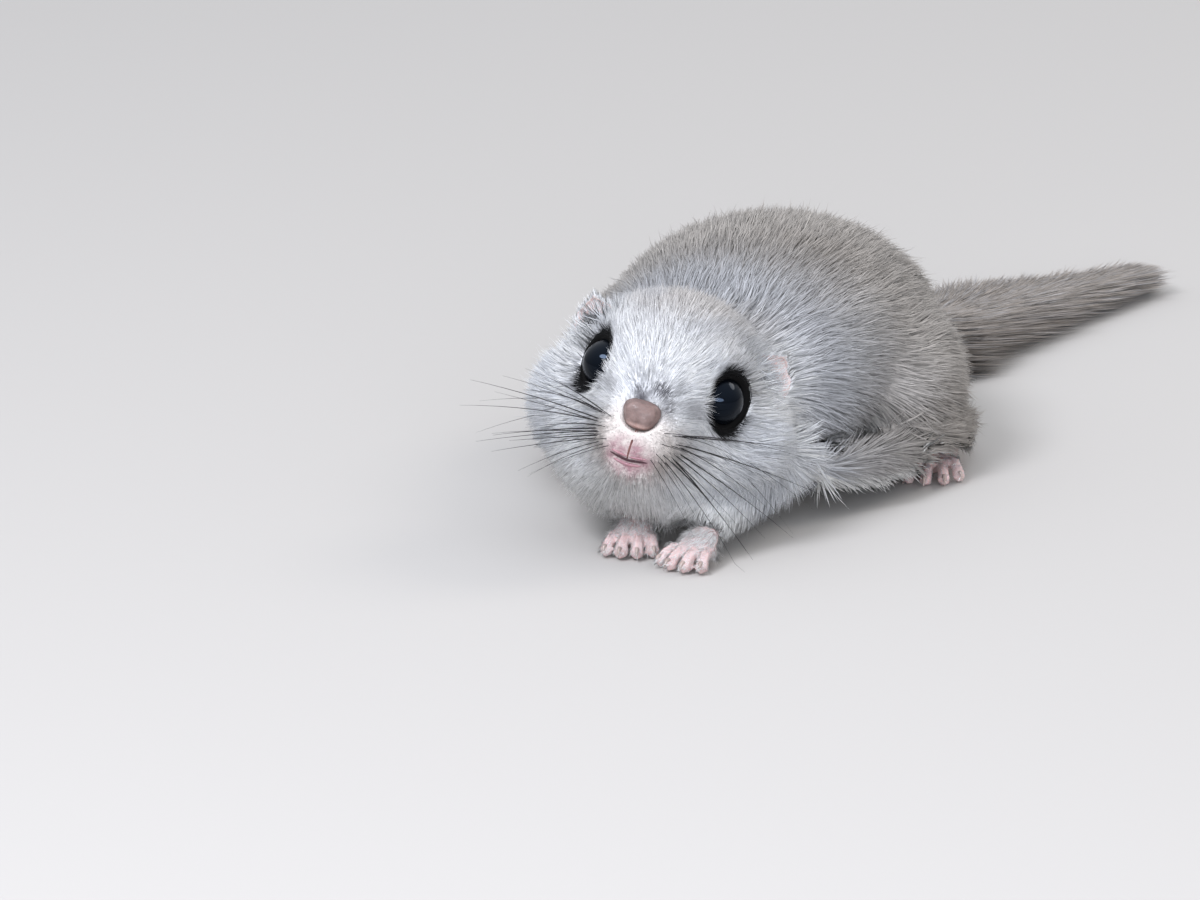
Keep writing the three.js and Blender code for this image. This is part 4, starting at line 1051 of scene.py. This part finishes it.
# a hook's points are shares of the toe's length and heights in its half widths
clawPlan = {"hook": ((0.93, 1.5), (1.06, 1.72), (1.17, 1.4), (1.27, 0.7)),
            "radii": [0.3, 0.42, 0.42, 0.37, 0.3, 0.22, 0.14, 0.05], "sideCount": 8}
hindLimbs = {"left": {"wrist": (30.5, 84, 3), "tip": (34.5, 51, 1.4)},
             "right": {"wrist": (-28.5, 84, 3), "tip": (-32.5, 51, 1.4)}}
for paw, limbs in (("forepaw", foreLimbs), ("hindfoot", hindLimbs)):
    plan = pawPlan[paw]
    for name, s in sides.items():
        wrist, tip = np.array(limbs[name]["wrist"], float), np.array(limbs[name]["tip"], float)
        along = unit((tip - wrist) * np.array([1, 1, 0]))
        across = np.array([along[1] * s, -along[0] * s, 0])
        hooks = []
        for k, share in enumerate(plan["digits"]):
            fan = k / (len(plan["digits"]) - 1) - 0.5
            turn = math.radians(plan["spread"]) * fan
            toe = along * math.cos(turn) + across * math.sin(turn)
            knuckle = wrist + along * (plan["palm"] - 1.5 * abs(fan)) + across * plan["width"] * 1.55 * fan
            knuckle = knuckle * np.array([1, 1, 0])
            path = [knuckle + toe * plan["reach"] * share * t + np.array([0, 0, plan["half"] * z])
                    for t, z in clawPlan["hook"]]
            line = curveThrough(path, len(clawPlan["radii"]))
            hooks.append(tubePoints(line, clawPlan["radii"], clawPlan["sideCount"]))
        points, faces = joined(hooks)
        claws = meshObject(f"{paw}_{name}_claws", (points + partShift) * mm, faces, clawMaterial)
        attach(claws, "root")
print("stage: claws")

# lips and the cleft under the nose, laid on the muzzle's skin; sizes in mm
lipPlan = {"height": -14.3, "line": {"half": 3.5, "radius": 0.36, "flat": 0.6, "proud": 0.12},
           "lower": {"half": 2.6, "radius": 0.46, "flat": 0.75, "drop": 0.75},
           "upper": {"middle": 1.75, "half": 1.6, "radius": 0.3, "flat": 0.8, "drop": -0.6}}
headSkin = toHead(skinPoints / mm)
headSkin = headSkin[(headSkin[:, 1] < 0) & (np.abs(headSkin[:, 0]) < 8) & (headSkin[:, 2] < -6)]


def onMuzzle(x, z, proud):
    # the point of the muzzle's skin at x and z, seen from the front, moved out by proud
    near = np.argsort(np.hypot(headSkin[:, 0] - x, headSkin[:, 2] - z))[:12]
    return [x, headSkin[near, 1].mean() - proud, z]


def mouthAt(x, proud=0.0, drop=0.0):
    return onMuzzle(x, lipPlan["height"] + 0.1 * abs(x) ** 1.3 - drop, proud)


def rollOf(name, path, radii, flat, material):
    points, faces = tubePoints(np.array(path), radii, 12, flat, (0, 0.3, 1))
    roll = meshObject(name, fromHead(points) * mm, faces, material)
    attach(roll, "root")


xs = np.linspace(-1, 1, 21)
swell = np.sqrt(np.maximum(1 - xs ** 2, 0.02))
line, lower, upper = lipPlan["line"], lipPlan["lower"], lipPlan["upper"]
rollOf("mouth_line", [mouthAt(x * line["half"], line["proud"]) for x in xs], line["radius"] * swell,
       line["flat"], mouthMaterial)
rollOf("lower_lip", [mouthAt(x * lower["half"], 0.0, lower["drop"]) for x in xs], lower["radius"] * swell,
       lower["flat"], lipMaterial)
for name, s in sides.items():
    path = [mouthAt(s * (upper["middle"] + x * upper["half"]), 0.0, upper["drop"]) for x in xs]
    rollOf(f"upper_lip_{name}", path, upper["radius"] * swell, upper["flat"], lipMaterial)
cleftPath = [onMuzzle(0.14 * math.sin(5 * t), -7.4 - 6.6 * t, 0.02 - 0.1 * math.sin(3.1 * t))
             for t in np.linspace(0, 1, 9)]
rollOf("cleft", cleftPath, np.linspace(0.3, 0.14, 9), 0.8, cleftMaterial)
print("stage: lips")

# whiskers: stiff black tapering bristles in rows on the pads, over the eyes and on the cheeks; sizes in mm
whiskerPlan = {
    "pad": {"rows": 4, "perRow": 5, "length": (17, 30), "thick": 0.08, "thickGain": 0.014},
    "brow": {"count": 3, "length": (6, 8), "thick": 0.06, "droop": (1.5, 1.5, 0.2)},
    "cheek": {"count": 2, "length": (13, 17), "thick": 0.07, "droop": (0.5, 2.0, -2.0)},
    "floorRoom": 0.2,
}


def whiskerOf(root, aim, reach, thick, droop):
    t = np.linspace(0, 1, 9)
    path = root + np.outer(t, aim) * reach + np.outer(t ** 2, droop)
    return tubePoints(path, thick * (1.02 - t * 0.9), 5)


def droopOf(plan, side):
    x, y, z = plan["droop"]
    return np.array([x * side, y, z])


bristles = []
for s in sides.values():
    pad, brow, cheek = whiskerPlan["pad"], whiskerPlan["brow"], whiskerPlan["cheek"]
    for row in range(pad["rows"]):
        for k in range(pad["perRow"]):
            root = np.array([s * (3.0 + 0.9 * k), -10.2 + 1.25 * k, -8.6 - 1.25 * row + 0.15 * k])
            aimY = -0.25 + 0.16 * k + 0.1 * rng.normal()
            aimZ = 0.32 - 0.3 * row + 0.1 * rng.normal()
            aim = unit(np.array([s * (0.9 + 0.1 * k), aimY, aimZ]))
            reach = rng.uniform(*pad["length"]) * (0.55 + 0.12 * k)
            droop = np.array([0.4 * s, 2.6, -2.4 + 1.4 * rng.normal()])
            bristles.append(whiskerOf(root, aim, reach, pad["thick"] + pad["thickGain"] * k, droop))
    for k in range(brow["count"]):
        root = np.array([s * (7.5 + k), 0.5 + k, 6.5 + 0.4 * k])
        aim = unit(np.array([s * (0.35 + 0.2 * k), -0.1 + 0.3 * k, 1.0]))
        reach = rng.uniform(*brow["length"])
        bristles.append(whiskerOf(root, aim, reach, brow["thick"], droopOf(brow, s)))
    for k in range(cheek["count"]):
        root = np.array([s * (15 + k), 3.0 + k, -8.0 - 2 * k])
        aim = unit(np.array([s * 1.0, -0.1, -0.2 - 0.3 * k]))
        reach = rng.uniform(*cheek["length"])
        bristles.append(whiskerOf(root, aim, reach, cheek["thick"], droopOf(cheek, s)))
whiskerMaterial = bareSkinMaterial("whiskerHorn", "#1D1A1B", "#0A090A", 0.5, 0.35, 0.01, soft=0.0)
points, faces = joined(bristles)
points = fromHead(points)
points[:, 2] = np.maximum(points[:, 2], whiskerPlan["floorRoom"])  # the lowest ones rest on the floor
whiskers = meshObject("whiskers", points * mm, faces, whiskerMaterial)
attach(whiskers, "root")
print("stage: whiskers")

# floor, sky, lights and camera
floorMaterial, tree = newMaterial("paleFloor")
closeMaterial(tree, addNode(tree, "ShaderNodeBsdfPrincipled",
                            {"Roughness": 0.9, "Specular IOR Level": 0.1, "Base Color": opaque("#B4B1AE")}))
floorCorners = [(-8, -8, 0), (8, -8, 0), (8, 8, 0), (-8, 8, 0)]
floor = meshObject("floor", floorCorners, [(0, 1, 2, 3)], floorMaterial, False)

world = bpy.data.worlds.new("soft daylight")
bpy.context.scene.world = world
world.use_nodes = True
sky = world.node_tree
sky.nodes.clear()
direction = addNode(sky, "ShaderNodeTexCoord")
height = addNode(sky, "ShaderNodeSeparateXYZ", links={"Vector": direction.outputs["Generated"]})
brightening = {"From Min": -0.2, "From Max": 0.9, "To Min": 0.32, "To Max": 1.3}
ramp = addNode(sky, "ShaderNodeMapRange", brightening, {"Value": height.outputs["Z"]})
tint = addNode(sky, "ShaderNodeBackground", {"Color": opaque("#E9EEF6")}, {"Strength": ramp.outputs[0]})
addNode(sky, "ShaderNodeOutputWorld", links={"Surface": tint.outputs[0]})

# the camera puts the middle of the eyes at eyePixel of the 1200 x 900 frame; framePixel is the frame's middle
shotPlan = {"azimuth": 16, "elevation": 15, "distance": 1754, "lens": 300, "sensor": 36, "pixelsPerMm": 5.7,
            "eyePixel": (661.5, 382.5), "framePixel": (600, 450), "clip": (0.05, 60)}
azimuth, elevation = math.radians(shotPlan["azimuth"]), math.radians(shotPlan["elevation"])
rightward = np.array([math.cos(azimuth), math.sin(azimuth), 0])
flat = math.cos(elevation)
towardCamera = np.array([math.sin(azimuth) * flat, -math.cos(azimuth) * flat, math.sin(elevation)])
upward = np.cross(towardCamera, rightward)
(eyeX, eyeY), (middleX, middleY) = shotPlan["eyePixel"], shotPlan["framePixel"]
target = headOrigin - rightward * (eyeX - middleX) / shotPlan["pixelsPerMm"]
target = target - upward * (middleY - eyeY) / shotPlan["pixelsPerMm"]
cameraData = bpy.data.cameras.new("camera")
cameraData.lens = shotPlan["lens"]
cameraData.sensor_width = shotPlan["sensor"]
cameraData.clip_start, cameraData.clip_end = shotPlan["clip"]
camera = placed("camera", cameraData)
cameraPlace = Matrix.Translation(Vector((target + towardCamera * shotPlan["distance"]) * mm))
camera.matrix_world = cameraPlace @ Matrix(np.column_stack([rightward, upward, towardCamera])).to_4x4()
bpy.context.scene.camera = camera

lightPlan = {
    "key": {"place": (-0.3, -0.8, 0.9), "aimAt": (0, -0.08, 0.02), "size": (0.5, 0.35),
            "watts": 11.0, "colour": "#F6F8FF"},
    "fill": {"place": (0.35, -1.1, 0.3), "aimAt": (0, -0.08, 0.02), "size": (0.7, 0.3),
             "watts": 7.0, "colour": "#F2F6FF"},
    "rim": {"place": (0.7, 0.5, 0.8), "aimAt": (0, 0, 0.02), "size": (0.6, 0.4),
            "watts": 3.0, "colour": "#FFF6EA"},
}
for name, light in lightPlan.items():
    lightData = bpy.data.lights.new(name, "AREA")
    lightData.shape = "ELLIPSE"
    lightData.size, lightData.size_y = light["size"]
    lightData.energy = light["watts"]
    lightData.color = tuple(linear(light["colour"]))
    lamp = placed(name, lightData)
    lamp.location = light["place"]
    beam = Vector(light["aimAt"]) - Vector(light["place"])
    lamp.rotation_euler = beam.to_track_quat("-Z", "Y").to_euler()
bpy.context.scene.view_settings.view_transform = "Standard"
bpy.context.scene.view_settings.exposure = 0.0
print("stage: light and camera")
